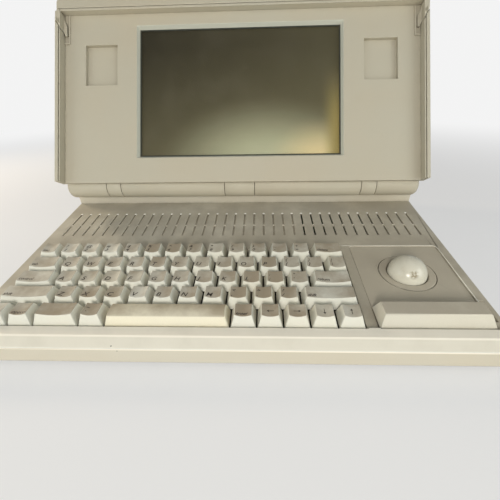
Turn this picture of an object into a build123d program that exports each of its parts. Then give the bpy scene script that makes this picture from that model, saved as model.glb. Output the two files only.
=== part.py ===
from build123d import *
from math import cos, radians, sin, tan
import os

os.makedirs("parts", exist_ok=True)

# Keys, which set the width of the machine
key_pitch = 19.05
key_gap = 0.9
key_base = -0.5
key_side_inset = 3.1
key_back_inset = 2.6
key_front_inset = 4.0
key_dish = 0.75
key_travel = 3.4
key_margin = 0.6
row_back_heights = (10.4, 9.2, 8.8, 8.9, 9.2)
row_front_heights = (9.5, 8.1, 7.9, 8.9, 9.4)
spacebar_crown = 1.2
stem_side = 4.0
stem_clearance = 0.3
stem_well_floor = 0.6
switch_side = 13.8
switch_drop = 0.7
switch_tall = 8.4
plate_thick = 1.2
plate_reach = 2.0

# Case, in table coordinates: X to the right, Y to the rear, Z up from the table
left_margin = 13.9
divider_width = 8.775
bay_width = 80.0
right_margin = 8.1
housing_depth = 146.2
case_height = 103.0
foot_height = 3.0
foot_radius = 9.0
foot_inset = 30.0
foot_set = 24.0
wall = 2.6
corner_radius = 7.0
bottom_bevel = 5.0
rear_top_radius = 12.0
nose_height = 20.1
seam_rear_height = 46.0
seam_gap = 0.3
post_radius = 4.0
post_inset = 8.0

# Deck, in its own tilted frame: y = 0 at the front seam of the keys, z = 0 on the deck plane
deck_slope = 8.0
deck_front_set = 15.7
deck_front_height = 24.3
lip_depth = 8.2
lip_rise = 2.6
ledge_height = 9.0
hump_lean = 17.5

# Vents between the keys and the hinge
vent_count = 36
vent_pitch = 10.28
vent_width = 1.7
vent_set = 25.75
vent_length = 43.7
vent_bridge_share = 0.457
vent_bridge_width = 1.6

# Hinge barrel across the rear of the deck
hinge_vent_set = 13.9
hinge_ledge_set = 13.4
hinge_z = 28.0
barrel_radius = 12.0
barrel_inset = 2.5
barrel_end_radius = 5.0
knuckle_inner = 128.4
knuckle_width = 15.2
centre_half = 15.7
barrel_gap = 0.5
pin_radius = 3.0
pin_reach = 12.0
pin_clearance = 0.05
hump_over_barrel = 3.0
lid_open_angle = 125.9

# Lid, drawn shut over the deck
lid_inset = 2.5
lid_land = 0.6
lid_wall = 2.4
lid_rim_width = 3.4
lid_length = 181.3
lid_front_top = 30.5
lid_edge_radius = 4.0
lid_block_reach = 4.5
lid_step_depth = 3.1
tray_depth = 10.4
tray_wall = 1.2
tray_gap = 0.4
tray_front_wall = 2.3
tray_edge_set = 0.8
bezel_thick = 2.4

# Screen
screen_width = 212.3
screen_height = 136.0
screen_up = 96.4
screen_sink = 4.5
screen_bevel = 2.3
screen_frame = 3.0
window_thick = 1.1
window_lap = 2.0
panel_thick = 9.0
panel_margin = 7.0
display_board_thick = 1.6
display_board_inset = 6.0
stack_gap = 0.05

# Square recesses that clear the ball when the lid is shut
recess_width = 34.0
recess_length = 42.8
recess_depth = 4.6
recess_wall = 2.0
recess_ball_x = 0.5
recess_ball_y = 10.4

# Carrying handle
handle_front = 13.3
handle_gap = 0.6
handle_corner = 8.0
handle_edge = 6.0
handle_land = 0.6
arm_inset = 13.0
arm_width = 4.0
arm_low = 17.5
arm_tall = 9.0
arm_length = 60.0
arm_clearance = 0.4

# Latches in the upper corners of the lid
lever_set = 3.3
lever_proud = 0.2
lever_pin_inset = 7.4
lever_pin_set = 20.4
lever_pin_radius = 1.2
lever_low = 1.2
lever_arm_low = 8.0
lever_top = 10.2
lever_clearance = 0.5
lever_swing = 5.0
hook_inset = 3.8
hook_thick = 1.4
hook_set = 9.2
hook_width = 3.5
hook_reach = 3.6
guide_width = 5.9
guide_length = 31.0
guide_wall = 1.4
guide_low = 9.6
socket_width = 3.6
socket_length = 20.5
socket_lead = 1.2

# Trackball bay
bay_behind_keys = 6.25
bay_radius = 4.0
bay_gap = 0.35
panel_sink = 0.8
flange_reach = 1.8
flange_thick = 1.6
ball_off_centre = 0.6
ball_from_rear = 38.2
ball_z = -1.8
ball_radius = 15.75
ball_clearance = 0.7
ring_radius = 22.9
ring_gap = 0.35
ring_bore = 16.3
ring_thick = 3.5
ring_float = 0.15
cup_half = 24.0
cup_depth = 17.8
roller_radius = 2.5
roller_dip = 35.0
roller_length = 10.0
roller_contact_gap = 0.15
roller_room = 0.6
shaft_radius = 1.0
shaft_clearance = 0.05
encoder_radius = 5.0
encoder_thick = 1.0
encoder_off = 6.0
bar_depth = 21.8
bar_height = 9.0
bar_front_gap = 0.5
bar_side_gap = 0.1
bar_side_inset = 3.6
bar_back_inset = 3.2
bar_front_inset = 6.4
bar_edge = 0.8
bar_travel = 2.4
bar_rear_gap = 0.9

# Rear housing contents, in table coordinates
door_margin = 12.5
door_width = 120.0
door_drop = 37.0
door_gap = 0.4
door_front_reach = 4.0
ledge_reach = 4.0
ledge_thick = 2.6
battery_size = (112.0, 98.0, 52.0)
battery_rear_set = 12.0
battery_headroom = 3.0
bay_wall = 2.0
bay_clearance = 0.6
board_height = 9.0
board_thick = 1.6
board_depth = 128.0
board_right_set = 17.5
board_rear_set = 12.0
floppy_headroom = 4.6181
bracket_thick = 2.0
bracket_border = 6.0
disk_size = (146.0, 101.6, 25.4)
disk_set = 12.0
disk_right_set = 12.6
disk_corner = 3.0
floppy_size = (150.0, 101.6, 41.0)
floppy_rear_set = 10.4
floppy_wall_gap = 0.3
slot_width = 95.0
slot_tall = 5.4
slot_deep = 92.0
slot_share = 0.62
power_size = (66.0, 92.0, 26.0)
power_margin = (4.0, 20.0)
power_bracket_gap = 6.0
backup_size = (48.0, 26.0, 17.0)
backup_set = (43.5, 160.3)
speaker_radius = 25.0
speaker_magnet_radius = 12.5
speaker_rim = 4.0
speaker_depth = 18.0
port_width = 210.0
port_height = 20.0
port_right_set = 21.5
port_floor = 13.0
port_plate = 2.0
port_plate_lap = 2.5
port_rim = 1.8
port_sink = 2.4
flat_sockets = ((32.0, 25.0), (77.0, 40.0), (127.0, 33.0))
flat_rim_height = 11.0
flat_rim_corner = 3.0
flat_bore_inset = 2.0
flat_bore_height = 7.5
flat_bore_corner = 2.4
round_sockets = ((54.0, 4.5), (158.0, 5.5), (174.0, 5.5), (188.0, 3.6), (201.0, 3.6))
round_rim_width = 1.2
side_button_radius = 3.2
side_button_gap = 0.25
side_button_flange = 1.4
side_button_spacing = 14.0
side_button_rear_set = 56.0
side_button_z = 30.0

# Places that follow from the sizes above
slope = radians(deck_slope)
key_rear = 5 * key_pitch
keys_wide = 14.5 * key_pitch
hinge_y = key_rear + vent_set + vent_length + hinge_vent_set
deck_length = hinge_y + hinge_ledge_set
case_width = left_margin + keys_wide + divider_width + bay_width + right_margin
case_depth = deck_front_set + deck_length * cos(slope) + housing_depth
half_width = case_width / 2
front_y = -case_depth / 2
rear_y = case_depth / 2
deck_y0 = front_y + deck_front_set
key_left = left_margin - half_width
key_right = key_left + keys_wide
bay_left = key_right + divider_width
bay_right = bay_left + bay_width
bay_rear = key_rear + bay_behind_keys
ball_x = (bay_left + bay_right) / 2 + ball_off_centre
ball_y = bay_rear - ball_from_rear
vent_front = key_rear + vent_set
vent_rear = vent_front + vent_length
vent_bridge = vent_front + vent_bridge_share * vent_length
hump_front_y = deck_length + hump_lean
hump_front_z = hinge_z + barrel_radius + hump_over_barrel
lid_half = half_width - lid_inset
barrel_half = lid_half - barrel_inset
lid_front_y = hinge_y - lid_length
lever_front = lid_front_y + lever_set
bezel_face = lid_land + tray_depth
bezel_back = bezel_face + bezel_thick
front_land = lip_rise + handle_land
switch_top = key_base - key_travel - switch_drop
plate_top = switch_top - switch_tall
plate_low = plate_top - plate_thick
floor_z = foot_height + wall

DECK = Pos(0, deck_y0, deck_front_height) * Rot(deck_slope, 0, 0)
OPEN = DECK * Pos(0, hinge_y, hinge_z) * Rot(-lid_open_angle, 0, 0) * Pos(0, -hinge_y, -hinge_z)


def on_table(y, z):
    """Table coordinates (Y, Z) of a point of the deck frame."""
    return (
        deck_y0 + y * cos(slope) - z * sin(slope),
        deck_front_height + y * sin(slope) + z * cos(slope),
    )


def block(x0, x1, y0, y1, z0, z1):
    """Box between two corners."""
    return Pos((x0 + x1) / 2, (y0 + y1) / 2, (z0 + z1) / 2) * Box(x1 - x0, y1 - y0, z1 - z0)


def side_face(corners, x=0.0):
    """Face in the side view from (y, z, corner radius) entries."""
    outline = FilletPolyline(
        *[(y, z) for y, z, _ in corners], radius=[r for _, _, r in corners], close=True
    )
    return Plane.YZ.offset(x) * make_face(outline)


def side_prism(corners, x0, x1):
    """Side view outline run across the width from x0 to x1."""
    return extrude(side_face(corners, x0), x1 - x0)


def rod(radius, x0, x1, y, z):
    """Round bar along X."""
    return Pos((x0 + x1) / 2, y, z) * Rot(0, 90, 0) * Cylinder(radius, x1 - x0)


def post(radius, x, y, z0, z1):
    """Round bar along Z."""
    return Pos(x, y, (z0 + z1) / 2) * Cylinder(radius, z1 - z0)


def mirrored(shape):
    """The same piece on the other side of the centre plane."""
    return mirror(shape, Plane.YZ)


def save(name, *solids):
    """Write one node; several solids stay separate."""
    shape = solids[0] if len(solids) == 1 else Compound(children=list(solids))
    shape.label = name
    export_step(shape, f"parts/{name}.step")


# Outer case

def case_corners():
    """Side view of the whole case without its lid."""
    lip = on_table(-lip_depth, lip_rise)
    lip_edge = on_table(0, lip_rise)
    step = on_table(0, 0)
    deck_end = on_table(deck_length, 0)
    ledge = on_table(deck_length, ledge_height)
    hump = on_table(hump_front_y, hump_front_z)
    return [
        (front_y + bottom_bevel, foot_height, 2.0),
        (front_y, foot_height + bottom_bevel, 2.0),
        (front_y, nose_height, 0.8),
        (*lip, 1.0),
        (*lip_edge, 0),
        (*step, 0),
        (*deck_end, 0),
        (*ledge, 0.8),
        (*hump, 4.0),
        (rear_y, case_height, rear_top_radius),
        (rear_y, foot_height + bottom_bevel, 2.0),
        (rear_y - bottom_bevel, foot_height, 2.0),
    ]


def case_shell():
    """Hollow case with rounded upright corners."""
    def rounded_case(inset):
        side = make_face(
            FilletPolyline(
                *[(y, z) for y, z, _ in case_corners()],
                radius=[r for _, _, r in case_corners()],
                close=True,
            )
        )
        if inset:
            side = offset(side, -inset, kind=Kind.INTERSECTION)
        body = extrude(Plane.YZ.offset(inset - half_width) * side, case_width - 2 * inset)
        plan = RectangleRounded(
            case_width - 2 * inset, case_depth - 2 * inset, corner_radius - inset
        )
        return body & extrude(plan, 2 * case_height)

    return rounded_case(0) - rounded_case(wall)


def seam_height(y):
    """Height of the seam between the lower case and the covers."""
    return nose_height + (seam_rear_height - nose_height) * (y - front_y) / case_depth


def below_seam(drop):
    """Everything under the seam, lowered by a gap."""
    past = 20.0
    return side_prism(
        [
            (front_y - past, -past, 0),
            (rear_y + past, -past, 0),
            (rear_y + past, seam_height(rear_y + past) - drop, 0),
            (front_y - past, seam_height(front_y - past) - drop, 0),
        ],
        -case_width,
        case_width,
    )


def ahead_of_ledge(gap):
    """Everything in front of the ledge wall, in the deck frame."""
    return DECK * block(
        -case_width, case_width, -case_depth, deck_length - gap, -case_height, 2 * case_height
    )


shell = case_shell()
lower_shell = shell & below_seam(seam_gap)
upper_shell = shell - below_seam(0)
deck_shell = upper_shell & ahead_of_ledge(seam_gap)
rear_shell = upper_shell - ahead_of_ledge(0)


# Keyboard

def switch_centres():
    """Unit position of each key: row, left edge and width in key units."""
    rows = [
        [("key_escape", 1.0)] + [("number_keys", 1.0)] * 12 + [("key_delete", 1.5)],
        [("key_tab", 1.5)] + [("upper_letter_keys", 1.0)] * 13,
        [("key_control", 1.75)] + [("home_letter_keys", 1.0)] * 11 + [("key_return", 1.75)],
        [("key_shift_left", 2.25)] + [("lower_letter_keys", 1.0)] * 10 + [("key_shift_right", 2.25)],
        [
            ("key_caps_lock", 1.0), ("key_option", 1.0), ("key_command", 1.75),
            ("key_accent", 1.0), ("key_space", 4.75), ("key_enter", 1.0),
            ("key_arrow_left", 1.0), ("key_arrow_right", 1.0),
            ("key_arrow_down", 1.0), ("key_arrow_up", 1.0),
        ],
    ]
    keys = []
    for row, names in enumerate(rows):
        unit = 0.0
        for name, width in names:
            keys.append((name, row, unit, width))
            unit += width
    return keys


def key_centre(row, unit, width):
    """Centre of a key on the deck."""
    return key_left + (unit + width / 2) * key_pitch, (4.5 - row) * key_pitch


def keycap(name, row, unit, width):
    """Keycap with sloping sides, a tilted dished top and its stem."""
    x, y = key_centre(row, unit, width)
    back, front = row_back_heights[row], row_front_heights[row]
    top = max(back, front) + 1.0
    span = width * key_pitch - key_gap
    deep = key_pitch - key_gap
    rise = (top - key_base) / (back - key_base)
    narrow = span - 2 * key_side_inset * rise
    back_edge = deep / 2 - key_back_inset * rise
    front_edge = -deep / 2 + key_front_inset * rise
    base = Pos(0, 0, key_base) * Rectangle(span, deep)
    crest = Pos(0, (back_edge + front_edge) / 2, top) * Rectangle(narrow, back_edge - front_edge)
    cap = loft([base, crest], ruled=True)
    mid_height = (back + front) / 2
    run = deep - key_back_inset - key_front_inset
    tilt = (back - front) / run
    middle = (key_front_inset - key_back_inset) / 2
    if name == "key_space":
        radius = run * run / (8 * spacebar_crown)
        cutter = block(-span, span, -deep, deep, -1.0, top + 1.0) - (
            Pos(0, middle, mid_height - radius) * Rot(0, 90, 0) * Cylinder(radius, 3 * span)
        )
    else:
        face = span - 2 * key_side_inset
        radius = face * face / (8 * key_dish)
        cutter = (
            Pos(0, middle, mid_height - key_dish)
            * Rot(-90 + Vector(0, 1, tilt).get_angle(Vector(0, 1, 0)) * (1 if tilt > 0 else -1), 0, 0)
            * Pos(0, -radius, 0)
            * Cylinder(radius, 3 * deep)
        )
    cap = cap - cutter
    stem = block(
        -stem_side / 2, stem_side / 2, -stem_side / 2, stem_side / 2,
        plate_top + stem_well_floor + key_travel + stem_clearance, key_base,
    )
    return Pos(x, y, 0) * (cap + stem)


def key_switch(row, unit, width):
    """Switch housing with the square well that the stem travels in."""
    x, y = key_centre(row, unit, width)
    half, well = switch_side / 2, stem_side / 2 + stem_clearance
    body = block(-half, half, -half, half, plate_top, switch_top)
    return Pos(x, y, 0) * (body - block(-well, well, -well, well, plate_top + stem_well_floor, switch_top))


keys = switch_centres()
caps = {}
for key in keys:
    caps.setdefault(key[0], []).append(DECK * keycap(*key))
for name, solids in caps.items():
    save(name, *solids)
save("key_switches", *[DECK * key_switch(*key[1:]) for key in keys])

keyboard_plate = block(
    key_left - plate_reach, key_right + plate_reach, -plate_reach, key_rear + plate_reach,
    plate_low, plate_top,
)
save("keyboard_plate", DECK * keyboard_plate)


# Lower case with its posts

def floor_post(x, y, height):
    """Post from the floor up to a height in the deck frame."""
    return DECK * post(post_radius, x, y, -case_height, height)


plate_posts = [
    floor_post(x, y, plate_low)
    for x in (key_left + post_inset, (key_left + key_right) / 2, key_right - post_inset)
    for y in (post_radius, key_rear - post_radius)
]
above_floor = block(-case_width, case_width, front_y, rear_y, floor_z - 0.5, 2 * case_height)
board_right = half_width - board_right_set
disk_x, disk_y, disk_z = disk_size
power_x, power_y, power_z = power_size
bracket_right = half_width - wall - floppy_wall_gap
bracket_left = bracket_right - disk_right_set - disk_x - disk_set
power_left = bracket_left - power_bracket_gap - power_x
board_left = power_left - power_margin[0]
board_rear = rear_y - board_rear_set
board_front = board_rear - board_depth
board_posts = [
    post(post_radius, x, y, floor_z - 0.5, board_height)
    for x in (board_left + post_inset, (board_left + board_right) / 2, board_right - post_inset)
    for y in (board_front + post_inset, board_rear - post_inset)
]
port_right = half_width - port_right_set
port_left = port_right - port_width
port_window = block(
    port_left, port_right, rear_y - 2 * wall, rear_y + 1, port_floor, port_floor + port_height
)
side_button_y = rear_y - side_button_rear_set
side_button_places = (side_button_y, side_button_y + side_button_spacing)
side_button_holes = [
    rod(
        side_button_radius + side_button_gap, -half_width - 1, -half_width + 2 * wall,
        y, side_button_z,
    )
    for y in side_button_places
]
lower_case = lower_shell - port_window
for hole in side_button_holes:
    lower_case -= hole
for item in plate_posts:
    lower_case += item & above_floor
for item in board_posts:
    lower_case += item
save("lower_case", lower_case)

feet = [
    post(foot_radius, x, y, 0, foot_height)
    for x in (foot_inset - half_width, half_width - foot_inset)
    for y in (front_y + foot_set, rear_y - foot_set)
]
save("rubber_feet", *feet)


# Deck cover

def latch_socket():
    """Slot in the right deck strip that takes the hook of the latch."""
    outer = lid_half - hook_inset + hook_thick + (socket_width - hook_thick) / 2
    front = lever_front + hook_set - socket_lead
    return block(
        outer - socket_width, outer, front, front + socket_length, -2 * wall, 2 * lip_rise
    )


def vents():
    """Long narrow slots in two lengths with a bridge between them."""
    first = -(vent_count - 1) / 2 * vent_pitch
    slots = []
    for index in range(vent_count):
        x = first + index * vent_pitch
        for y0, y1 in (
            (vent_front, vent_bridge - vent_bridge_width / 2),
            (vent_bridge + vent_bridge_width / 2, vent_rear),
        ):
            slots.append(block(x - vent_width / 2, x + vent_width / 2, y0, y1, -2 * wall, 1.0))
    return slots


key_well = block(
    key_left - key_margin, key_right + key_margin, -key_margin, key_rear + key_margin,
    -3 * wall, 2 * lip_rise,
)
bay_plan = Pos((bay_left + bay_right) / 2, bay_rear / 2, 0) * RectangleRounded(
    bay_right - bay_left, bay_rear, bay_radius
)
bay_cut = extrude(Pos(0, 0, -3 * wall) * bay_plan, 6 * wall) + block(
    bay_left, bay_right, -key_margin, bay_radius, -3 * wall, 2 * lip_rise
)
deck_cover = deck_shell - DECK * key_well - DECK * bay_cut
deck_cover -= [DECK * latch_socket(), DECK * mirrored(latch_socket())]
deck_cover -= [DECK * slot for slot in vents()]
save("deck_cover", deck_cover)


# Trackball unit

panel_top = -panel_sink
panel_low = -wall
flange_low = panel_low - flange_thick
inner_left, inner_right = bay_left + bay_gap, bay_right - bay_gap
inner_rear = bay_rear - bay_gap
bar_front, bar_back = bar_front_gap, bar_front_gap + bar_depth
panel_front = bar_back + bar_rear_gap
tray_top = key_base - bar_travel - stem_clearance
tray_low = tray_top - flange_thick
ring_hole = ring_radius + ring_gap
cup_low = flange_low - cup_depth

roller_out = ball_radius + roller_radius + roller_contact_gap
roller_side = roller_out * cos(radians(roller_dip))
roller_z = ball_z - roller_out * sin(radians(roller_dip))
encoder_set = roller_length / 2 + encoder_off
shaft_long = encoder_set + 4 * encoder_thick
shaft_short = roller_length / 2 + 3 * shaft_radius


def roller():
    """Roller, its shaft and the encoder disc, along X about the origin."""
    piece = rod(roller_radius, -roller_length / 2, roller_length / 2, 0, 0)
    piece += rod(shaft_radius, -shaft_short, shaft_long, 0, 0)
    return piece + rod(encoder_radius, encoder_set, encoder_set + encoder_thick, 0, 0)


def roller_pocket():
    """Room round a roller, with bearing bores at both ends of its shaft."""
    room = roller_radius + roller_room
    disc = encoder_radius + roller_room
    half = roller_length / 2 + roller_room
    pocket = block(-half, half, -room, room, -room, cup_depth)
    pocket += block(
        encoder_set - roller_room, encoder_set + encoder_thick + roller_room,
        -disc, disc, -disc, cup_depth,
    )
    bore = shaft_radius + shaft_clearance
    return pocket + rod(bore, -shaft_short - ring_gap, shaft_long + ring_gap, 0, 0)


BALL = Pos(ball_x, ball_y, ball_z)
CROSS_ROLLER = Pos(ball_x, ball_y + roller_side, roller_z) * Rot(0, 0, 180)
LENGTH_ROLLER = Pos(ball_x + roller_side, ball_y, roller_z) * Rot(0, 0, -90)

panel = extrude(
    Pos((inner_left + inner_right) / 2, (panel_front + inner_rear) / 2, panel_low)
    * RectangleRounded(inner_right - inner_left, inner_rear - panel_front, bay_radius - bay_gap),
    panel_top - panel_low,
)
panel += block(inner_left, inner_right, panel_front, panel_front + bay_radius, panel_low, panel_top)
flange = block(
    bay_left - flange_reach, bay_right + flange_reach, panel_front, bay_rear + flange_reach,
    flange_low, panel_low,
)
riser_back = panel_front + flange_thick
bar_tray = block(inner_left, inner_right, bar_front, riser_back, tray_low, tray_top)
tray_riser = block(inner_left, inner_right, panel_front, riser_back, tray_low, panel_top)
cup = block(
    ball_x - cup_half, ball_x + cup_half, ball_y - cup_half, ball_y + cup_half,
    cup_low, flange_low,
)
housing = panel + flange + bar_tray + tray_riser + cup
housing -= post(ring_hole, ball_x, ball_y, flange_low, 1.0)
ball_room = ball_radius + ball_clearance
housing -= BALL * Sphere(ball_room)
housing -= post(ball_room, ball_x, ball_y, ball_z, 1.0)
under_flange = block(-50, 50, -50, 50, -50, flange_low - roller_z - 0.5)
housing -= CROSS_ROLLER * (roller_pocket() & under_flange)
housing -= LENGTH_ROLLER * (roller_pocket() & under_flange)
save("trackball_housing", DECK * housing)

ring_low = flange_low + ring_float
ring = post(ring_radius, ball_x, ball_y, ring_low, ring_low + ring_thick)
ring -= post(ring_bore, ball_x, ball_y, flange_low, 1.0)
ring = chamfer(ring.edges().filter_by(GeomType.CIRCLE).sort_by(Axis.Z)[-2:], 0.6)
save("trackball_ring", DECK * ring)
save("trackball", DECK * BALL * Sphere(ball_radius))
save("roller_across", DECK * CROSS_ROLLER * roller())
save("roller_lengthwise", DECK * LENGTH_ROLLER * roller())

bar_left, bar_right = inner_left + bar_side_gap, inner_right - bar_side_gap
bar_middle = (bar_left + bar_right) / 2
bar_base = Pos(bar_middle, (bar_front + bar_back) / 2, key_base) * Rectangle(
    bar_right - bar_left, bar_depth
)
bar_crest = Pos(
    bar_middle, (bar_front + bar_front_inset + bar_back - bar_back_inset) / 2, bar_height
) * Rectangle(
    bar_right - bar_left - 2 * bar_side_inset, bar_depth - bar_front_inset - bar_back_inset
)
click_bar = loft([bar_base, bar_crest], ruled=True)
click_bar = fillet(click_bar.edges().group_by(Axis.Z)[-1], bar_edge)
save("click_bar", DECK * click_bar)


# Rear cover, its battery bay and door

door_left = door_margin - half_width
door_right = door_left + door_width
battery_x, battery_y, battery_z = battery_size
battery_front = rear_y - battery_rear_set - battery_y
door_front = battery_front - door_front_reach
door_low = case_height - door_drop


def door_region(gap):
    """Part of the case that the battery door takes up."""
    return block(
        door_left + gap, door_right - gap, door_front + gap, 2 * rear_y,
        door_low + gap, 2 * case_height,
    )


def sloping_top(y):
    """Height of the rear housing's top over the table."""
    y0, z0 = on_table(hump_front_y, hump_front_z)
    return z0 + (case_height - z0) * (y - y0) / (rear_y - y0)


battery_left = (door_left + door_right - battery_x) / 2
battery_low = sloping_top(battery_front) - wall - battery_headroom - battery_z
battery = block(
    battery_left, battery_left + battery_x, battery_front, battery_front + battery_y,
    battery_low, battery_low + battery_z,
)
bay_outer = block(
    battery_left - bay_clearance - bay_wall, battery_left + battery_x + bay_clearance + bay_wall,
    battery_front - bay_clearance - bay_wall, battery_front + battery_y + bay_clearance + bay_wall,
    battery_low - bay_wall, sloping_top(battery_front) - wall - battery_headroom / 2,
)


def under_top(x0, x1, y0, y1, low, high):
    """Slab that follows the slope of the rear housing's top, measured down from it."""
    return side_prism(
        [
            (y0, sloping_top(y0) - low, 0), (y1, sloping_top(y1) - low, 0),
            (y1, sloping_top(y1) - high, 0), (y0, sloping_top(y0) - high, 0),
        ],
        x0, x1,
    )


door_ledge = under_top(
    door_left - ledge_reach, door_right + ledge_reach, door_front - ledge_reach,
    rear_y - rear_top_radius, wall + ledge_thick, wall - 0.2,
)
door_space = under_top(
    door_left, door_right, door_front, case_depth, wall + door_gap, -wall,
)
bay_inner = block(
    battery_left - bay_clearance, battery_left + battery_x + bay_clearance,
    battery_front - bay_clearance, battery_front + battery_y + bay_clearance,
    battery_low, case_height,
)
floppy_x, floppy_y, floppy_z = floppy_size
floppy_right = bracket_right
floppy_front = rear_y - floppy_rear_set - floppy_y
floppy_low = sloping_top(floppy_front) - wall - floppy_headroom - floppy_z
bracket_height = floppy_low - bracket_thick
slot_mid_y = floppy_front + floppy_y / 2
slot_mid_z = floppy_low + floppy_z * slot_share
disk_slot = block(
    floppy_right - slot_deep, half_width + 5,
    slot_mid_y - slot_width / 2, slot_mid_y + slot_width / 2,
    slot_mid_z - slot_tall / 2, slot_mid_z + slot_tall / 2,
)
rear_cover = rear_shell - door_region(0) + door_ledge + bay_outer - bay_inner
rear_cover = rear_cover - door_space - disk_slot
save("rear_cover", rear_cover)
save("battery_door", rear_shell & door_region(door_gap))
save("battery_pack", battery)

board = block(board_left, board_right, board_front, board_rear, board_height, board_height + board_thick)
bracket_front = floppy_front - bracket_border
bracket_rear = floppy_front + floppy_y + 1.0
bracket_corners = [
    (x, y)
    for x in (bracket_left + bracket_border, bracket_right - bracket_border)
    for y in (bracket_front + bracket_border, bracket_rear - bracket_border)
]
bracket = block(
    bracket_left, bracket_right, bracket_front, bracket_rear, bracket_height, bracket_height + bracket_thick
)
for x, y in bracket_corners:
    bracket += post(post_radius, x, y, floor_z, bracket_height)
    board -= post(post_radius + 1.0, x, y, 0, case_height)
save("logic_board", board)
save("drive_bracket", bracket)

disk_left = bracket_left + disk_set
disk_front = (bracket_front + bracket_rear - disk_y) / 2
hard_disk = block(
    disk_left, disk_left + disk_x, disk_front, disk_front + disk_y,
    bracket_height - disk_z, bracket_height,
)
save("hard_disk", fillet(hard_disk.edges().filter_by(Axis.Z), disk_corner))


def floppy_drive():
    """Drive round its disk slot: floor, roof, two side rails and the rear block."""
    left, front, rear = floppy_right - floppy_x, floppy_front, floppy_front + floppy_y
    inner = floppy_right - slot_deep
    low, high = slot_mid_z - slot_tall / 2, slot_mid_z + slot_tall / 2
    near, far = slot_mid_y - slot_width / 2, slot_mid_y + slot_width / 2
    return [
        block(left, floppy_right, front, rear, floppy_low, low),
        block(left, floppy_right, front, rear, high, floppy_low + floppy_z),
        block(inner, floppy_right, front, near, low, high),
        block(inner, floppy_right, far, rear, low, high),
        block(left, inner, front, rear, low, high),
    ]


save("floppy_drive", *floppy_drive())

power_front = board_front + power_margin[1]
power_low = board_height + board_thick
power_unit = block(
    power_left, power_left + power_x, power_front, power_front + power_y,
    power_low, power_low + power_z,
)
save("power_unit", power_unit)
backup_x, backup_y, backup_z = backup_size
backup_left, backup_front = backup_set[0] - half_width, deck_y0 + backup_set[1]
backup_battery = block(
    backup_left, backup_left + backup_x, backup_front, backup_front + backup_y,
    floor_z, floor_z + backup_z,
)
save("backup_battery", backup_battery)

speaker_x, speaker_y = backup_left, (vent_front + vent_rear) / 2
speaker = post(speaker_radius, speaker_x, speaker_y, -wall - speaker_rim, -wall)
cone_tall = speaker_depth - speaker_rim
speaker += Pos(speaker_x, speaker_y, -wall - speaker_rim - cone_tall / 2) * Rot(180, 0, 0) * Cone(
    speaker_radius - 2, speaker_magnet_radius, cone_tall
)
save("speaker", DECK * speaker)


# Socket panel at the rear

def socket_panel():
    """Plate behind the rear window with shallow sockets of ordinary shapes."""
    face = rear_y - wall
    plate = block(
        port_left - port_plate_lap, port_right + port_plate_lap, face - port_plate, face,
        port_floor - port_plate_lap, port_floor + port_height + port_plate_lap,
    )
    middle = port_floor + port_height / 2
    rims, bores = [], []
    for off, width in flat_sockets:
        centre = Pos(port_right - off, middle, 0)
        bore_width = width - 2 * flat_bore_inset
        rims.append(centre * RectangleRounded(width, flat_rim_height, flat_rim_corner))
        bores.append(centre * RectangleRounded(bore_width, flat_bore_height, flat_bore_corner))
    for off, radius in round_sockets:
        centre = Pos(port_right - off, middle, 0)
        rims.append(centre * Circle(radius + round_rim_width))
        bores.append(centre * Circle(radius))
    for rim in rims:
        plate += extrude(Plane.XZ.offset(-face) * rim, -port_rim)
    for bore in bores:
        hole = Plane.XZ.offset(-face) * bore
        plate -= extrude(hole, -port_rim) + extrude(hole, port_sink - port_rim)
    return plate


save("socket_panel", socket_panel())


def side_button(y):
    """Small round push button in the left side."""
    inside = -half_width + wall
    head = rod(side_button_radius, -half_width + 0.2, inside + wall + 1, y, side_button_z)
    rim = side_button_radius + side_button_flange
    flange = rod(rim, inside + seam_gap, inside + wall / 2, y, side_button_z)
    return head + flange


save("reset_button", side_button(side_button_places[0]))
save("interrupt_button", side_button(side_button_places[1]))


# Hinge barrel

def hump_front(z):
    """Depth of the rear housing's sloping front at a height over the deck."""
    return deck_length + (hump_front_y - deck_length) * (z - ledge_height) / (
        hump_front_z - ledge_height
    )


def on_barrel(angle):
    """Point of the barrel's outline in the side view."""
    turn = radians(angle)
    return hinge_y + barrel_radius * cos(turn), hinge_z + barrel_radius * sin(turn)


def knuckle(x0, x1):
    """Fixed piece of the barrel with the neck that seats on the rear cover."""
    neck_high = ledge_height + 10.0
    neck = side_prism(
        [
            (hinge_y, hinge_z, 0),
            (*on_barrel(-65), 0),
            (deck_length - 0.1, ledge_height + 0.6, 0),
            (hump_front(neck_high) - 0.1, neck_high, 0),
            (*on_barrel(-43), 0),
        ],
        x0,
        x1,
    )
    return rod(barrel_radius, x0, x1, hinge_y, hinge_z) + neck


knuckle_outer = knuckle_inner + knuckle_width
pin_bore = rod(pin_radius + 0.01, knuckle_inner - 1, knuckle_outer + 1, hinge_y, hinge_z)
right_knuckle = knuckle(knuckle_inner, knuckle_outer) - pin_bore
save("hinge_knuckles", DECK * mirrored(right_knuckle), DECK * right_knuckle)
save("hinge_centre", DECK * knuckle(-centre_half, centre_half))
right_pin = rod(
    pin_radius, knuckle_inner - pin_reach, knuckle_outer + pin_reach, hinge_y, hinge_z
)
save("hinge_pins", DECK * mirrored(right_pin), DECK * right_pin)

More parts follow.
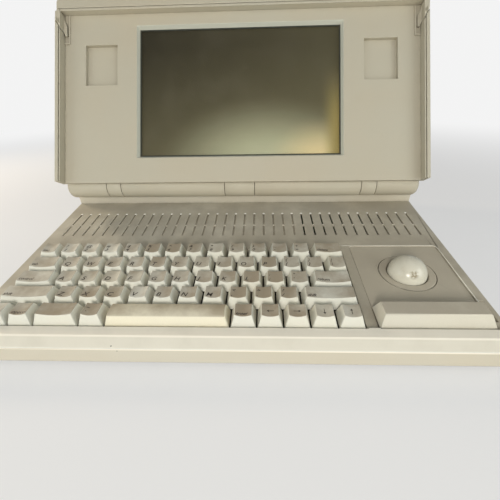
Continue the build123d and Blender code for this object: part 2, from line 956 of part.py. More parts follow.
running_bore = rod(
    pin_radius + pin_clearance,
    knuckle_inner - pin_reach - 1, knuckle_outer + pin_reach + 1, hinge_y, hinge_z,
)
barrel_outer = rod(barrel_radius, knuckle_outer + barrel_gap, barrel_half, hinge_y, hinge_z)
outer_edge = barrel_outer.edges().filter_by(GeomType.CIRCLE).sort_by(Axis.X)[-1]
barrel_outer = fillet(outer_edge, barrel_end_radius)
barrel_inner = rod(
    barrel_radius, centre_half + barrel_gap, knuckle_inner - barrel_gap, hinge_y, hinge_z
)
right_barrels = [barrel_outer - running_bore, barrel_inner - running_bore]
save(
    "lid_barrels",
    *[OPEN * mirrored(piece) for piece in right_barrels],
    *[OPEN * piece for piece in right_barrels],
)


# Lid

side_inner = lid_half - lid_rim_width
bezel_half = side_inner - tray_gap
tray_half = bezel_half - tray_wall
tray_front = lid_front_y + tray_front_wall
tray_edge = lid_land + tray_edge_set
lever_pin_x = lid_half - lever_pin_inset
lever_pin_y = lever_front + lever_pin_set
arm_inner = lid_half - arm_inset


def lid_top(y):
    """Height of the shut lid's outer face over the deck."""
    rear_top = hinge_z + barrel_radius
    return lid_front_top + (rear_top - lid_front_top) * (y - lid_front_y) / lid_length


def lever_outline(grow):
    """Latch lever of the right side, seen square to the screen."""
    outer = lid_half + lever_proud
    points = [
        (outer, 0.0), (outer, 8.0), (lid_half - 3.4, 14.5), (lid_half - 6.8, 22.5),
        (lid_half - 8.4, 22.5), (lid_half - 8.4, 12.0), (lid_half - 5.6, 5.5), (lid_half - 4.8, 0.0),
    ]
    face = make_face(Polyline(*[(x, lever_front + y) for x, y in points], close=True))
    return offset(face, grow, kind=Kind.INTERSECTION) if grow else face


def lever_swept_room():
    """Room for the lever from rest to fully pressed."""
    at_rest = extrude(Pos(0, 0, -1) * lever_outline(lever_clearance), bezel_face + 1)
    pivot = Pos(lever_pin_x, lever_pin_y, 0)
    room = at_rest
    for share in (0.5, 1.0):
        room += pivot * Rot(0, 0, -share * lever_swing) * pivot.inverse() * at_rest
    return room


lid_block = side_prism(
    [
        (lid_front_y, lid_land, 0),
        (lid_front_y, lid_front_top, 0),
        (hinge_y, lid_top(hinge_y), 0),
        (hinge_y, lid_land, 0),
    ],
    -lid_half,
    lid_half,
)
top_edges = lid_block.edges().filter_by(
    lambda edge: abs(abs(edge.center().X) - lid_half) < 0.01
    and edge.center().Z > lid_front_top and edge.length > lid_length / 2
)
lid_block = fillet(top_edges, lid_edge_radius)
block_front = hinge_y - barrel_radius - lid_block_reach
cavity = side_prism(
    [
        (lid_front_y + lid_wall, -1, 0),
        (lid_front_y + lid_wall, lid_top(lid_front_y + lid_wall) - lid_wall, 0),
        (block_front, lid_top(block_front) - lid_wall, 0),
        (block_front, -1, 0),
    ],
    -side_inner,
    side_inner,
)
bezel_room = block(
    -side_inner, side_inner, lid_front_y - 1, hinge_y + 1, -1, bezel_back + seam_gap
)
front_step = block(
    -2 * lid_half, 2 * lid_half, lid_front_y - 1, lid_front_y + lid_step_depth, -1, front_land
)
barrel_room = rod(barrel_radius + 0.2, -lid_half - 1, lid_half + 1, hinge_y, hinge_z)
knuckle_room = rod(
    barrel_radius + 0.7, knuckle_inner - barrel_gap, knuckle_outer + barrel_gap, hinge_y, hinge_z
)
centre_room = rod(
    barrel_radius + 0.7, -centre_half - barrel_gap, centre_half + barrel_gap, hinge_y, hinge_z
)
arm_room = block(
    arm_inner - arm_clearance, arm_inner + arm_width + arm_clearance,
    lid_front_y - 1, lid_front_y + 2 * lid_wall,
    arm_low - arm_clearance, arm_low + arm_tall + arm_clearance,
)
lever_room = lever_swept_room()
lid_shell = lid_block - cavity - bezel_room - barrel_room - front_step
lid_shell -= [knuckle_room, mirrored(knuckle_room), centre_room]
lid_shell -= [arm_room, mirrored(arm_room), lever_room, mirrored(lever_room)]
save("lid_shell", OPEN * lid_shell)

# Screen surround with its opening, the two recesses and the bores of the lever pins
screen_y = hinge_y - screen_up
frame_width = screen_width + 2 * screen_bevel
frame_height = screen_height + 2 * screen_bevel
bezel = block(-bezel_half, bezel_half, lid_front_y, hinge_y, bezel_face, bezel_back)
bezel += block(
    -frame_width / 2 - screen_frame, frame_width / 2 + screen_frame,
    screen_y - frame_height / 2 - screen_frame, screen_y + frame_height / 2 + screen_frame,
    bezel_face, bezel_face + screen_sink,
)
recess_y = ball_y - recess_ball_y
for side in (-1, 1):
    place = Pos(side * (ball_x + recess_ball_x), recess_y, bezel_face)
    outside = Box(
        recess_width + 2 * recess_wall, recess_length + 2 * recess_wall, recess_depth + bezel_thick,
        align=(Align.CENTER, Align.CENTER, Align.MIN),
    )
    inside = Box(
        recess_width, recess_length, recess_depth, align=(Align.CENTER, Align.CENTER, Align.MIN)
    )
    bezel = bezel + place * outside - place * inside
lever_bore = post(lever_pin_radius + pin_clearance, lever_pin_x, lever_pin_y, 0, bezel_back + 1)
bezel -= [lever_bore, mirrored(lever_bore)]
opening_front = Pos(0, screen_y, bezel_face - 0.01) * Rectangle(frame_width, frame_height)
opening_back = Pos(0, screen_y, bezel_face + screen_sink + 0.01) * Rectangle(
    screen_width, screen_height
)
bezel -= loft([opening_front, opening_back], ruled=True)
save("display_bezel", OPEN * bezel)

# Rims that stand round the surround, and the two shallow frames round the latch levers
side_rim = block(tray_half, bezel_half, lever_front, hinge_y, tray_edge, bezel_face)
side_rim -= front_step
side_rim -= lever_room
front_rim = block(-bezel_half, bezel_half, lid_front_y, tray_front, front_land, bezel_face)
front_rim -= [lever_room, mirrored(lever_room)]
guide = block(
    tray_half - guide_width, tray_half, tray_front, tray_front + guide_length, guide_low, bezel_face
)
guide -= block(
    tray_half - guide_width + guide_wall, tray_half, tray_front, tray_front + guide_length - guide_wall,
    guide_low, bezel_face,
)
save(
    "bezel_rims",
    *[OPEN * piece for piece in (side_rim, mirrored(side_rim), front_rim, guide, mirrored(guide))],
)

window_low = bezel_face + screen_sink + stack_gap
window = Pos(0, screen_y, window_low + window_thick / 2) * Box(
    screen_width + 2 * window_lap, screen_height + 2 * window_lap, window_thick
)
save("screen_window", OPEN * window)
panel_low_z = window_low + window_thick + stack_gap
screen_panel = Pos(0, screen_y, panel_low_z + panel_thick / 2) * Box(
    screen_width + 2 * panel_margin, screen_height + 2 * panel_margin, panel_thick
)
save("screen_panel", OPEN * screen_panel)
board_low_z = panel_low_z + panel_thick + stack_gap
display_board = Pos(0, screen_y, board_low_z + display_board_thick / 2) * Box(
    screen_width - 2 * display_board_inset, screen_height - 2 * display_board_inset,
    display_board_thick,
)
save("display_board", OPEN * display_board)


# Latch levers

def latch_lever():
    """Right lever: thick button end, thin inner arm, hook and pivot pin."""
    whole = extrude(Pos(0, 0, lever_low) * lever_outline(0), lever_top - lever_low)
    lever = whole - block(0, tray_half, lever_front - 1, hinge_y, 0, lever_arm_low)
    hook_x = lid_half - hook_inset
    hook_y = lever_front + hook_set
    hook = block(
        hook_x, hook_x + hook_thick, hook_y, hook_y + hook_width,
        lid_land - hook_reach, lever_arm_low,
    )
    pin = post(lever_pin_radius, lever_pin_x, lever_pin_y, lever_arm_low, bezel_back)
    return lever + hook + pin


save("latch_right", OPEN * latch_lever())
save("latch_left", OPEN * mirrored(latch_lever()))


# Handle

def handle_piece():
    """Full width grip with two arms that slide inside the lid."""
    lean = tan(slope)
    rear = lid_front_y - handle_gap
    front = rear - handle_front
    bar = side_prism(
        [
            (rear, front_land, 0),
            (rear, lid_front_top - 0.1, 0),
            (front + lean * (lid_front_top - front_land), lid_front_top - 0.4, handle_edge),
            (front, front_land, 2.5),
        ],
        -lid_half,
        lid_half,
    )
    plan = Pos(0, front + lid_half, 0) * RectangleRounded(2 * lid_half, 2 * lid_half, handle_corner)
    bar = bar & extrude(plan, 3 * lid_front_top)
    arm = block(
        arm_inner, arm_inner + arm_width, rear - 1, rear + arm_length, arm_low, arm_low + arm_tall
    )
    return bar + arm + mirrored(arm)


save("handle", OPEN * handle_piece())
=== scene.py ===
"""Vintage portable computer with its tilting display, sloping keyboard deck and trackball.

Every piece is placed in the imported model's own frame, in metres. Sizes of the pieces are
written in millimetres, in the frame of the keyboard deck or of the shut display.
"""
import logging
from dataclasses import dataclass, field
from enum import Enum
from functools import reduce
from math import cos, pi, radians, sin, sqrt
from typing import Callable, Iterable, Sequence

import bmesh
import bpy
from mathutils import Matrix, Vector


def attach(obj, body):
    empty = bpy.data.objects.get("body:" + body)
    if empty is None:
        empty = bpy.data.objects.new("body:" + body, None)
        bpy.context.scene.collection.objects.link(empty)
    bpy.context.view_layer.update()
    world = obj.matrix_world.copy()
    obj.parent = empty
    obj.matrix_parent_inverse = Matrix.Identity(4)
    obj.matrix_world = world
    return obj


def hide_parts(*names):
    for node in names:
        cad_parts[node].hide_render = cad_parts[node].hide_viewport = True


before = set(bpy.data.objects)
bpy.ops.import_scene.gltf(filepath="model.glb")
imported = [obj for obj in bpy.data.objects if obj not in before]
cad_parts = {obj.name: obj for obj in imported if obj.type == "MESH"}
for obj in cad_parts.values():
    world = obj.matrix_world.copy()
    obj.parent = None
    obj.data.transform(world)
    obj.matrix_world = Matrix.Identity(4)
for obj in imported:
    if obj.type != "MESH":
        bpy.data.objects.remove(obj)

LOG = logging.getLogger("portable_computer")

# One millimetre, and the distance within which two vertices are one, in metres
MM = 0.001
WELD = 0.000004

# Where the deck and the display's hinge lie, in millimetres, and their turns in degrees
DECK_ORIGIN = (0.0, -160.3158, 24.3)
DECK_SLOPE = 8.0
HINGE_AT = (0.0, 178.6, 28.0)
LID_OPENING = 125.9

Colour = tuple[float, float, float]
Point = tuple[float, float, float]

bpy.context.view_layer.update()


class Place(Enum):
    """Frames that the sizes are written in."""

    TABLE = "table"
    DECK = "deck"
    LID = "lid"


def placing(place: Place) -> Matrix:
    """Matrix from millimetres in a frame to metres in the world.

    Args:
        place: The frame that the sizes are written in.

    Returns:
        The matrix that takes a point of that frame to the world.
    """
    scale = Matrix.Scale(MM, 4)
    if place is Place.TABLE:
        return scale
    deck = Matrix.Translation(DECK_ORIGIN) @ Matrix.Rotation(radians(DECK_SLOPE), 4, "X")
    if place is Place.DECK:
        return scale @ deck
    hinge = Matrix.Translation(HINGE_AT)
    turn = Matrix.Rotation(radians(-LID_OPENING), 4, "X")
    return scale @ deck @ hinge @ turn @ hinge.inverted()


# Shader groups


class Nodes:
    """Lays out the nodes of one tree."""

    def __init__(self, tree: bpy.types.NodeTree) -> None:
        """Starts on a tree.

        Args:
            tree: The node tree to fill.
        """
        self.tree = tree
        self.count = 0

    def add(self, kind: str, settings: dict | None = None, *numbered: object,
            **inputs: object) -> bpy.types.Node:
        """Adds a node, sets it and links what it takes.

        Args:
            kind: Blender's name of the node type.
            settings: Properties of the node itself.
            *numbered: Values or sockets of its first inputs.
            **inputs: Values or sockets by input name, with spaces written as underscores.

        Returns:
            The new node.
        """
        node = self.tree.nodes.new(kind)
        node.location = (200 * (self.count % 8), -260 * (self.count // 8))
        self.count += 1
        for key, value in (settings or {}).items():
            setattr(node, key, value)
        for number, value in enumerate(numbered):
            self.feed(node, str(number), value)
        for key, value in inputs.items():
            self.feed(node, key.replace("_", " "), value)
        return node

    def feed(self, node: bpy.types.Node, name: str, value: object) -> None:
        """Links a socket to an input or sets the input's value.

        Args:
            node: The node that takes it.
            name: The input's name, or its number as text.
            value: An output socket, a number or a colour.
        """
        socket = node.inputs[int(name)] if name.isdigit() else node.inputs[name]
        if isinstance(value, bpy.types.NodeSocket):
            self.tree.links.new(value, socket)
        elif isinstance(value, tuple) and len(value) == 3 and socket.type == "RGBA":
            socket.default_value = (*value, 1.0)
        else:
            socket.default_value = value

    def maths(self, operation: str, first: object, second: object = 0.0) -> bpy.types.NodeSocket:
        """Adds one sum.

        Args:
            operation: Blender's name of the operation.
            first: First value or socket.
            second: Second value or socket.

        Returns:
            The result's socket.
        """
        return self.add("ShaderNodeMath", {"operation": operation}, first, second).outputs[0]

    def times(self, *factors: object) -> bpy.types.NodeSocket:
        """Multiplies values or sockets one after another."""
        return reduce(lambda first, second: self.maths("MULTIPLY", first, second), factors)

    def plus(self, *terms: object) -> bpy.types.NodeSocket:
        """Adds values or sockets one after another."""
        return reduce(lambda first, second: self.maths("ADD", first, second), terms)

    def ramp(self, value: object, low: float, high: float, bottom: float = 0.0,
             top: float = 1.0) -> bpy.types.NodeSocket:
        """Maps a range of a value smoothly to another range.

        Args:
            value: The socket to map.
            low: Value that gives bottom.
            high: Value that gives top.
            bottom: Result at low.
            top: Result at high.

        Returns:
            The result's socket.
        """
        node = self.add("ShaderNodeMapRange", {"interpolation_type": "SMOOTHSTEP"},
                        Value=value, From_Min=low, From_Max=high, To_Min=bottom, To_Max=top)
        return node.outputs[0]

    def mix(self, share: object, first: object, second: object,
            blend: str = "MIX") -> bpy.types.NodeSocket:
        """Mixes two colours.

        Args:
            share: How much of the second colour.
            first: First colour or socket.
            second: Second colour or socket.
            blend: Blender's name of the blending.

        Returns:
            The mixed colour's socket.
        """
        node = self.add("ShaderNodeMix", {"data_type": "RGBA", "blend_type": blend})
        self.feed(node, "0", share)
        self.feed(node, "6", first)
        self.feed(node, "7", second)
        return node.outputs[2]

    def noise(self, vector: object, scale: object, detail: float = 3.0,
              rough: float = 0.5) -> bpy.types.NodeSocket:
        """Adds a noise texture.

        Args:
            vector: Where it is read.
            scale: Waves per metre, or their socket.
            detail: Octaves.
            rough: Weight of the finer octaves.

        Returns:
            The noise's factor socket.
        """
        return self.add("ShaderNodeTexNoise", None, Vector=vector, Scale=scale, Detail=detail,
                        Roughness=rough).outputs[0]

    def bump(self, shader: bpy.types.Node, strength: float, distance: float,
             height: object) -> None:
        """Raises the surface of a shader.

        Args:
            shader: The shader.
            strength: How much of it shows, from 0 to 1.
            distance: Rise in metres at height 1.
            height: The height's socket.
        """
        node = self.add("ShaderNodeBump", None, Strength=strength, Distance=distance,
                        Height=height)
        self.feed(shader, "Normal", node.outputs[0])


@dataclass(frozen=True)
class Group:
    """One shader effect that several materials share."""

    name: str
    inputs: tuple[tuple[str, str, object], ...]
    outputs: tuple[tuple[str, str], ...]
    fill: Callable[[Nodes, bpy.types.Node, bpy.types.Node], None]

    def tree(self) -> bpy.types.NodeTree:
        """Builds the group's node tree the first time it is asked for.

        Returns:
            The node tree.
        """
        found = bpy.data.node_groups.get(self.name)
        if found:
            return found
        tree = bpy.data.node_groups.new(self.name, "ShaderNodeTree")
        for name, kind, value in self.inputs:
            socket = tree.interface.new_socket(name=name, in_out="INPUT", socket_type=kind)
            if value is not None:
                socket.default_value = value
        for name, kind in self.outputs:
            tree.interface.new_socket(name=name, in_out="OUTPUT", socket_type=kind)
        nodes = Nodes(tree)
        source = nodes.add("NodeGroupInput")
        target = nodes.add("NodeGroupOutput")
        self.fill(nodes, source, target)
        return tree


FLOAT, COLOUR, VECTOR = "NodeSocketFloat", "NodeSocketColor", "NodeSocketVector"


def fill_moulded_grain(n: Nodes, source: bpy.types.Node, target: bpy.types.Node) -> None:
    """Fine spark-eroded grain of moulded plastic, with faint waves from shrinking.

    Args:
        n: The group's nodes.
        source: Node of the group's inputs.
        target: Node of the group's outputs.
    """
    spot = source.outputs["Vector"]
    scale = source.outputs["Scale"]
    fine = n.noise(spot, scale, 2.0, 0.6)
    pits = n.add("ShaderNodeTexVoronoi", None, Vector=spot, Scale=scale).outputs[0]
    wave = n.noise(spot, 26.0, 1.0)
    n.feed(target, "Height", n.plus(n.times(fine, 0.6), n.times(pits, 0.4), n.times(wave, 1.4)))
    n.feed(target, "Speckle", n.ramp(fine, 0.35, 0.65))


MOULDED_GRAIN = Group(
    "moulded_grain",
    (("Vector", VECTOR, None), ("Scale", FLOAT, 1400.0)),
    (("Height", FLOAT), ("Speckle", FLOAT)),
    fill_moulded_grain,
)


def fill_sun_yellowing(n: Nodes, source: bpy.types.Node, target: bpy.types.Node) -> None:
    """Plastic that light has yellowed in soft patches and fine clouds.

    Args:
        n: The group's nodes.
        source: Node of the group's inputs.
        target: Node of the group's outputs.
    """
    spot = source.outputs["Vector"]
    patch = n.ramp(n.noise(spot, 7.0, 2.0), 0.32, 0.7)
    cloud = n.noise(spot, 38.0, 4.0, 0.6)
    amount = n.times(n.plus(n.times(patch, 0.7), n.times(cloud, 0.5)), source.outputs["Amount"])
    n.feed(target, "Color", n.mix(amount, source.outputs["Fresh"], source.outputs["Aged"]))
    n.feed(target, "Mask", amount)


SUN_YELLOWING = Group(
    "sun_yellowing",
    (("Vector", VECTOR, None), ("Fresh", COLOUR, (0.6, 0.6, 0.55, 1)),
     ("Aged", COLOUR, (0.6, 0.52, 0.36, 1)), ("Amount", FLOAT, 0.5)),
    (("Color", COLOUR), ("Mask", FLOAT)),
    fill_sun_yellowing,
)


def fill_rubbed_edges(n: Nodes, source: bpy.types.Node, target: bpy.types.Node) -> None:
    """Outer edges that hands and bags have polished, broken up by noise.

    Args:
        n: The group's nodes.
        source: Node of the group's inputs.
        target: Node of the group's outputs.
    """
    worn = n.add("ShaderNodeBevel", {"samples": 4}, Radius=0.0011).outputs[0]
    face = n.add("ShaderNodeNewGeometry").outputs["Normal"]
    dot = n.add("ShaderNodeVectorMath", {"operation": "DOT_PRODUCT"}, worn, face)
    edge = n.ramp(dot.outputs["Value"], 0.995, 0.86)
    broken = n.ramp(n.noise(source.outputs["Vector"], 130.0, 4.0), 0.36, 0.62, 0.25, 1.0)
    n.feed(target, "Mask", n.times(edge, broken, source.outputs["Amount"]))


RUBBED_EDGES = Group(
    "rubbed_edges",
    (("Vector", VECTOR, None), ("Amount", FLOAT, 0.5)),
    (("Mask", FLOAT),),
    fill_rubbed_edges,
)


def fill_settled_dirt(n: Nodes, source: bpy.types.Node, target: bpy.types.Node) -> None:
    """Grime and painted shade in corners and seams that ambient occlusion finds closed in, a film
    of grime on upward faces, and a few specks.

    Args:
        n: The group's nodes.
        source: Node of the group's inputs.
        target: Node of the group's outputs.
    """
    spot = source.outputs["Vector"]
    # Painted shade: corners and seams that ambient occlusion finds closed in are darkened, broken
    # up by noise like grime.
    closed = n.add("ShaderNodeAmbientOcclusion", {"samples": 4}, Distance=0.007).outputs["AO"]
    corner = n.times(n.ramp(closed, 0.85, 0.35),
                     n.ramp(n.noise(spot, 90.0, 5.0, 0.65), 0.3, 0.6, 0.45))
    up = n.add("ShaderNodeSeparateXYZ", None,
               Vector=n.add("ShaderNodeNewGeometry").outputs["Normal"]).outputs[2]
    film = n.times(n.ramp(up, 0.6, 1.0), n.ramp(n.noise(spot, 22.0, 5.0, 0.6), 0.22, 0.62),
                   source.outputs["Film"])
    speck = n.add("ShaderNodeTexVoronoi", {"feature": "F1"}, Vector=spot, Scale=55.0)
    lone = n.ramp(n.noise(spot, 9.0, 1.0), 0.56, 0.7)
    dot = n.times(n.ramp(speck.outputs[0], 0.07, 0.03), lone)
    total = n.plus(n.times(corner, source.outputs["Corners"]), film,
                   n.times(dot, source.outputs["Specks"]))
    n.feed(target, "Mask", n.maths("MINIMUM", total, 1.0))


GRIME_AND_CORNER_SHADE = Group(
    "grime_and_corner_shade",
    (("Vector", VECTOR, None), ("Corners", FLOAT, 0.5), ("Film", FLOAT, 0.2),
     ("Specks", FLOAT, 0.4)),
    (("Mask", FLOAT),),
    fill_settled_dirt,
)


def fill_palm_rub(n: Nodes, source: bpy.types.Node, target: bpy.types.Node) -> None:
    """Front lip that wrists have cleaned, painted lighter where light falls on it, with painted
    highlights as pale lines along its two rounded edges and its crown.

    Args:
        n: The group's nodes.
        source: Node of the group's inputs.
        target: Node of the group's outputs.
    """
    axes = n.add("ShaderNodeSeparateXYZ", None, Vector=source.outputs["Vector"])
    depth, height = axes.outputs[1], axes.outputs[2]
    uneven = n.ramp(n.noise(source.outputs["Vector"], 30.0, 4.0, 0.6), 0.25, 0.6, 0.75, 1.0)
    before_keys = n.ramp(depth, -0.1598, -0.1612)
    # Lip band: cleaned of grime, and painted lighter where light falls on it
    lip = n.times(before_keys, n.ramp(height, 0.0194, 0.0199), uneven)
    # Painted highlights: pale lines along the lip's upper edge, its nose and its crown
    upper = n.times(n.ramp(depth, -0.1672, -0.1684), n.ramp(depth, -0.1704, -0.1694),
                    n.ramp(height, 0.0243, 0.0250))
    nose = n.times(n.ramp(height, 0.0184, 0.0192), n.ramp(height, 0.0206, 0.0200),
                   n.ramp(depth, -0.1735, -0.1750))
    crown = n.times(before_keys, n.ramp(height, 0.0232, 0.0240),
                    n.ramp(depth, -0.1696, -0.1686), 0.8)
    edges = n.maths("MAXIMUM", n.maths("MAXIMUM", upper, nose), crown)
    n.feed(target, "Mask", n.times(lip, source.outputs["Amount"]))
    n.feed(target, "Edges", n.times(edges, source.outputs["Amount"]))


PALM_RUB_AND_HIGHLIGHTS = Group(
    "palm_rub_and_highlights",
    (("Vector", VECTOR, None), ("Amount", FLOAT, 0.5)),
    (("Mask", FLOAT), ("Edges", FLOAT)),
    fill_palm_rub,
)


def start_material(name: str) -> tuple[bpy.types.Material, Nodes, bpy.types.Node, object]:
    """Empty node material with its output, main shader and object coordinates.

    Args:
        name: The material's name.

    Returns:
        The material, its nodes, its Principled shader and the coordinate socket.
    """
    material = bpy.data.materials.new(name)
    material.use_nodes = True
    material.node_tree.nodes.clear()
    nodes = Nodes(material.node_tree)
    shader = nodes.add("ShaderNodeBsdfPrincipled")
    output = nodes.add("ShaderNodeOutputMaterial", None, Surface=shader.outputs[0])
    output.location = (1800, 0)
    spot = nodes.add("ShaderNodeTexCoord").outputs["Object"]
    return material, nodes, shader, spot


def place_group(n: Nodes, group: Group, **inputs: object) -> bpy.types.Node:
    """Places a shader group in a material.

    Args:
        n: The material's nodes.
        group: The effect to place.
        **inputs: The values it takes.

    Returns:
        The group's node.
    """
    return n.add("ShaderNodeGroup", {"node_tree": group.tree()}, **inputs)


@dataclass(frozen=True)
class PlasticFinish:
    """Textured, aged moulded plastic, with painted shade in its corners and seams, and, where
    asked, a front lip painted lighter with painted highlights on its edges.
    """

    name: str
    fresh: Colour
    aged: Colour
    # Grime colour, also used to paint the shade in corners and seams
    dirt: Colour = (0.16, 0.13, 0.085)
    worn: Colour = (0.78, 0.75, 0.66)
    # Lighter colour painted on the cleaned lip where light falls on it
    rubbed: Colour = (0.84, 0.80, 0.69)
    # Colour of the painted highlights on the lip's edges
    edge: Colour = (0.96, 0.90, 0.78)
    speckle: Colour = (0.3, 0.27, 0.2)
    yellowing: float = 0.5
    # How much grime and painted shade darken corners and seams
    corners: float = 0.5
    film: float = 0.15
    specks: float = 0.35
    wear: float = 0.35
    grain_scale: float = 1500.0
    grain_depth: float = 0.12
    rough: float = 0.52
    # Strength of the cleaned lip, its painted light and its painted highlights
    palm: float = 0.0
    tint_layer: str = ""

    def build(self) -> bpy.types.Material:
        """Makes the material.

        Returns:
            The material.
        """
        material, n, shader, spot = start_material(self.name)
        yellow = self.yellowing
        if self.tint_layer:
            tint = n.add("ShaderNodeAttribute", {"attribute_name": self.tint_layer})
            yellow = n.times(tint.outputs["Fac"], self.yellowing)
        colour = place_group(n, SUN_YELLOWING, Vector=spot, Fresh=self.fresh, Aged=self.aged,
                             Amount=yellow)
        grain = place_group(n, MOULDED_GRAIN, Vector=spot, Scale=self.grain_scale)
        wear = place_group(n, RUBBED_EDGES, Vector=spot, Amount=self.wear)
        # Grime, specks, and painted shade in corners and seams
        dirt = place_group(n, GRIME_AND_CORNER_SHADE, Vector=spot, Corners=self.corners, Film=self.film,
                           Specks=self.specks)
        speckled = n.mix(n.times(grain.outputs["Speckle"], 0.06), colour.outputs["Color"],
                         self.speckle)
        polished = n.mix(wear.outputs["Mask"], speckled, self.worn)
        grime_and_shade_share = dirt.outputs["Mask"]
        # Cleaned lip painted lighter, with painted highlights on its edges; grime and painted
        # shade are taken off there
        if self.palm:
            palm = place_group(n, PALM_RUB_AND_HIGHLIGHTS, Vector=spot, Amount=self.palm)
            polished = n.mix(n.times(palm.outputs["Mask"], 0.85), polished, self.rubbed)
            polished = n.mix(palm.outputs["Edges"], polished, self.edge)
            cleaned = n.maths("MAXIMUM", palm.outputs["Mask"], palm.outputs["Edges"])
            grime_and_shade_share = n.times(grime_and_shade_share, n.maths("SUBTRACT", 1.0, cleaned))
        # Grime and painted corner shade darken the colour here
        n.feed(shader, "Base Color", n.mix(grime_and_shade_share, polished, self.dirt))
        rough = n.ramp(n.noise(spot, 48.0, 4.0), 0.25, 0.75, self.rough - 0.06, self.rough + 0.07)
        rough = n.maths("SUBTRACT", rough, n.times(wear.outputs["Mask"], 0.18))
        n.feed(shader, "Roughness", n.plus(rough, n.times(dirt.outputs["Mask"], 0.2)))
        shader.inputs["Specular IOR Level"].default_value = 0.42
        n.bump(shader, self.grain_depth, 0.0004, grain.outputs["Height"])
        return material


@dataclass(frozen=True)
class BallFinish:
    """Polished ball with finger grease and a stain."""

    name: str = "ball_plastic_polished"
    body: Colour = (0.76, 0.73, 0.62)
    grease: Colour = (0.30, 0.24, 0.14)
    clouded: Colour = (0.5, 0.44, 0.3)
    stain_at: Point = (0.1453, -0.1114, 0.0386)

    def build(self) -> bpy.types.Material:
        """Makes the material.

        Returns:
            The material.
        """
        material, n, shader, spot = start_material(self.name)
        smears = n.ramp(n.noise(spot, 120.0, 5.0, 0.6), 0.48, 0.72)
        cloud = n.ramp(n.noise(spot, 40.0, 3.0), 0.4, 0.7)
        away = n.add("ShaderNodeVectorMath", {"operation": "DISTANCE"}, spot, self.stain_at)
        near = n.ramp(away.outputs["Value"], 0.0048, 0.0012)
        blotch = n.times(near, n.ramp(n.noise(spot, 520.0, 3.0), 0.42, 0.55))
        colour = n.mix(n.times(smears, 0.22), self.body, self.grease)
        colour = n.mix(n.times(cloud, 0.2), colour, self.clouded)
        n.feed(shader, "Base Color", n.mix(n.times(blotch, 0.8), colour, self.grease))
        n.feed(shader, "Roughness", n.ramp(smears, 0.0, 1.0, 0.2, 0.42))
        n.bump(shader, 0.05, 0.0002, smears)
        return material


@dataclass(frozen=True)
class FilmFinish:
    """Unlit reflective liquid crystal sheet with its fine grid, and painted reflections of light
    on it: darker at the top left, paler towards the bottom right, with a pale and a golden patch
    at its lower edge.
    """

    name: str = "screen_film_painted_reflection"
    dark: Colour = (0.018, 0.013, 0.004)
    mid: Colour = (0.125, 0.108, 0.056)
    # Colours of the painted reflections: a pale patch and a golden patch
    pale: Colour = (0.56, 0.56, 0.37)
    gold: Colour = (0.90, 0.72, 0.38)
    rim: Colour = (0.36, 0.28, 0.09)
    cell: float = 0.000165
    half_width: float = 0.1062
    low: float = 0.098
    high: float = 0.212

    def glow(self, n: Nodes, across: object, height: object, middle: float,
             spread: tuple[float, float]) -> bpy.types.NodeSocket:
        """Soft oval patch of the sheet, where a reflection of light is painted.

        Args:
            n: The material's nodes.
            across: Place across the sheet, from 0 to 1.
            height: Place up the sheet, from 0 to 1.
            middle: The patch's centre across the sheet; it stands at the lower edge.
            spread: How far it reaches across and up.

        Returns:
            The patch's mask.
        """
        away = n.maths("DIVIDE", n.maths("SUBTRACT", across, middle), spread[0])
        rise = n.maths("DIVIDE", height, spread[1])
        square = n.plus(n.times(away, away), n.times(rise, rise))
        return n.ramp(n.maths("SQRT", square), 1.0, 0.0)

    def build(self) -> bpy.types.Material:
        """Makes the material.

        Returns:
            The material.
        """
        material, n, shader, spot = start_material(self.name)
        axes = n.add("ShaderNodeSeparateXYZ", None, Vector=spot)
        across = n.add("ShaderNodeMapRange", None, axes.outputs[0], -self.half_width,
                       self.half_width).outputs[0]
        height = n.add("ShaderNodeMapRange", None, axes.outputs[2], self.low,
                       self.high).outputs[0]
        down = n.maths("SUBTRACT", 1.0, height)
        # Painted reflection: darker at the top left, paler towards the bottom right
        reflection_gradient = n.plus(n.times(down, 0.88), n.times(across, 0.52))
        colour = n.mix(n.maths("MINIMUM", reflection_gradient, 1.0), self.dark, self.mid)
        # Painted reflections of light: a pale and a golden patch at the lower edge
        colour = n.mix(self.glow(n, across, height, 0.64, (0.60, 0.60)), colour, self.pale)
        colour = n.mix(self.glow(n, across, height, 0.91, (0.30, 0.42)), colour, self.gold)
        side = n.times(n.ramp(across, 0.90, 0.99), n.ramp(height, 0.85, 0.3))
        colour = n.mix(side, colour, self.rim)
        grid_x = n.maths("PINGPONG", axes.outputs[0], self.cell)
        grid_z = n.maths("PINGPONG", n.times(axes.outputs[2], 1.13), self.cell)
        line = n.maths("MAXIMUM", n.ramp(grid_x, 0.00003, 0.0), n.ramp(grid_z, 0.00003, 0.0))
        n.feed(shader, "Base Color", n.mix(n.times(line, 0.16), colour, self.dark))
        haze = n.noise(spot, 14.0, 3.0)
        n.feed(shader, "Roughness", n.ramp(haze, 0.3, 0.7, 0.55, 0.62))
        shader.inputs["Specular IOR Level"].default_value = 0.15
        n.bump(shader, 0.06, 0.0001, line)
        return material


@dataclass(frozen=True)
class WindowFinish:
    """Thin clear cover with an anti-glare face and faint smears."""

    name: str = "window_glass_satin"
    tint: Colour = (0.30, 0.30, 0.24)
    smear: Colour = (0.40, 0.38, 0.30)

    def build(self) -> bpy.types.Material:
        """Makes the material.

        Returns:
            The material.
        """
        material, n, shader, spot = start_material(self.name)
        smears = n.ramp(n.noise(spot, 30.0, 5.0, 0.6), 0.4, 0.7)
        n.feed(shader, "Base Color", n.mix(smears, self.tint, self.smear))
        n.feed(shader, "Roughness", n.ramp(smears, 0.0, 1.0, 0.26, 0.34))
        n.feed(shader, "Alpha", n.ramp(smears, 0.0, 1.0, 0.035, 0.045))
        return material


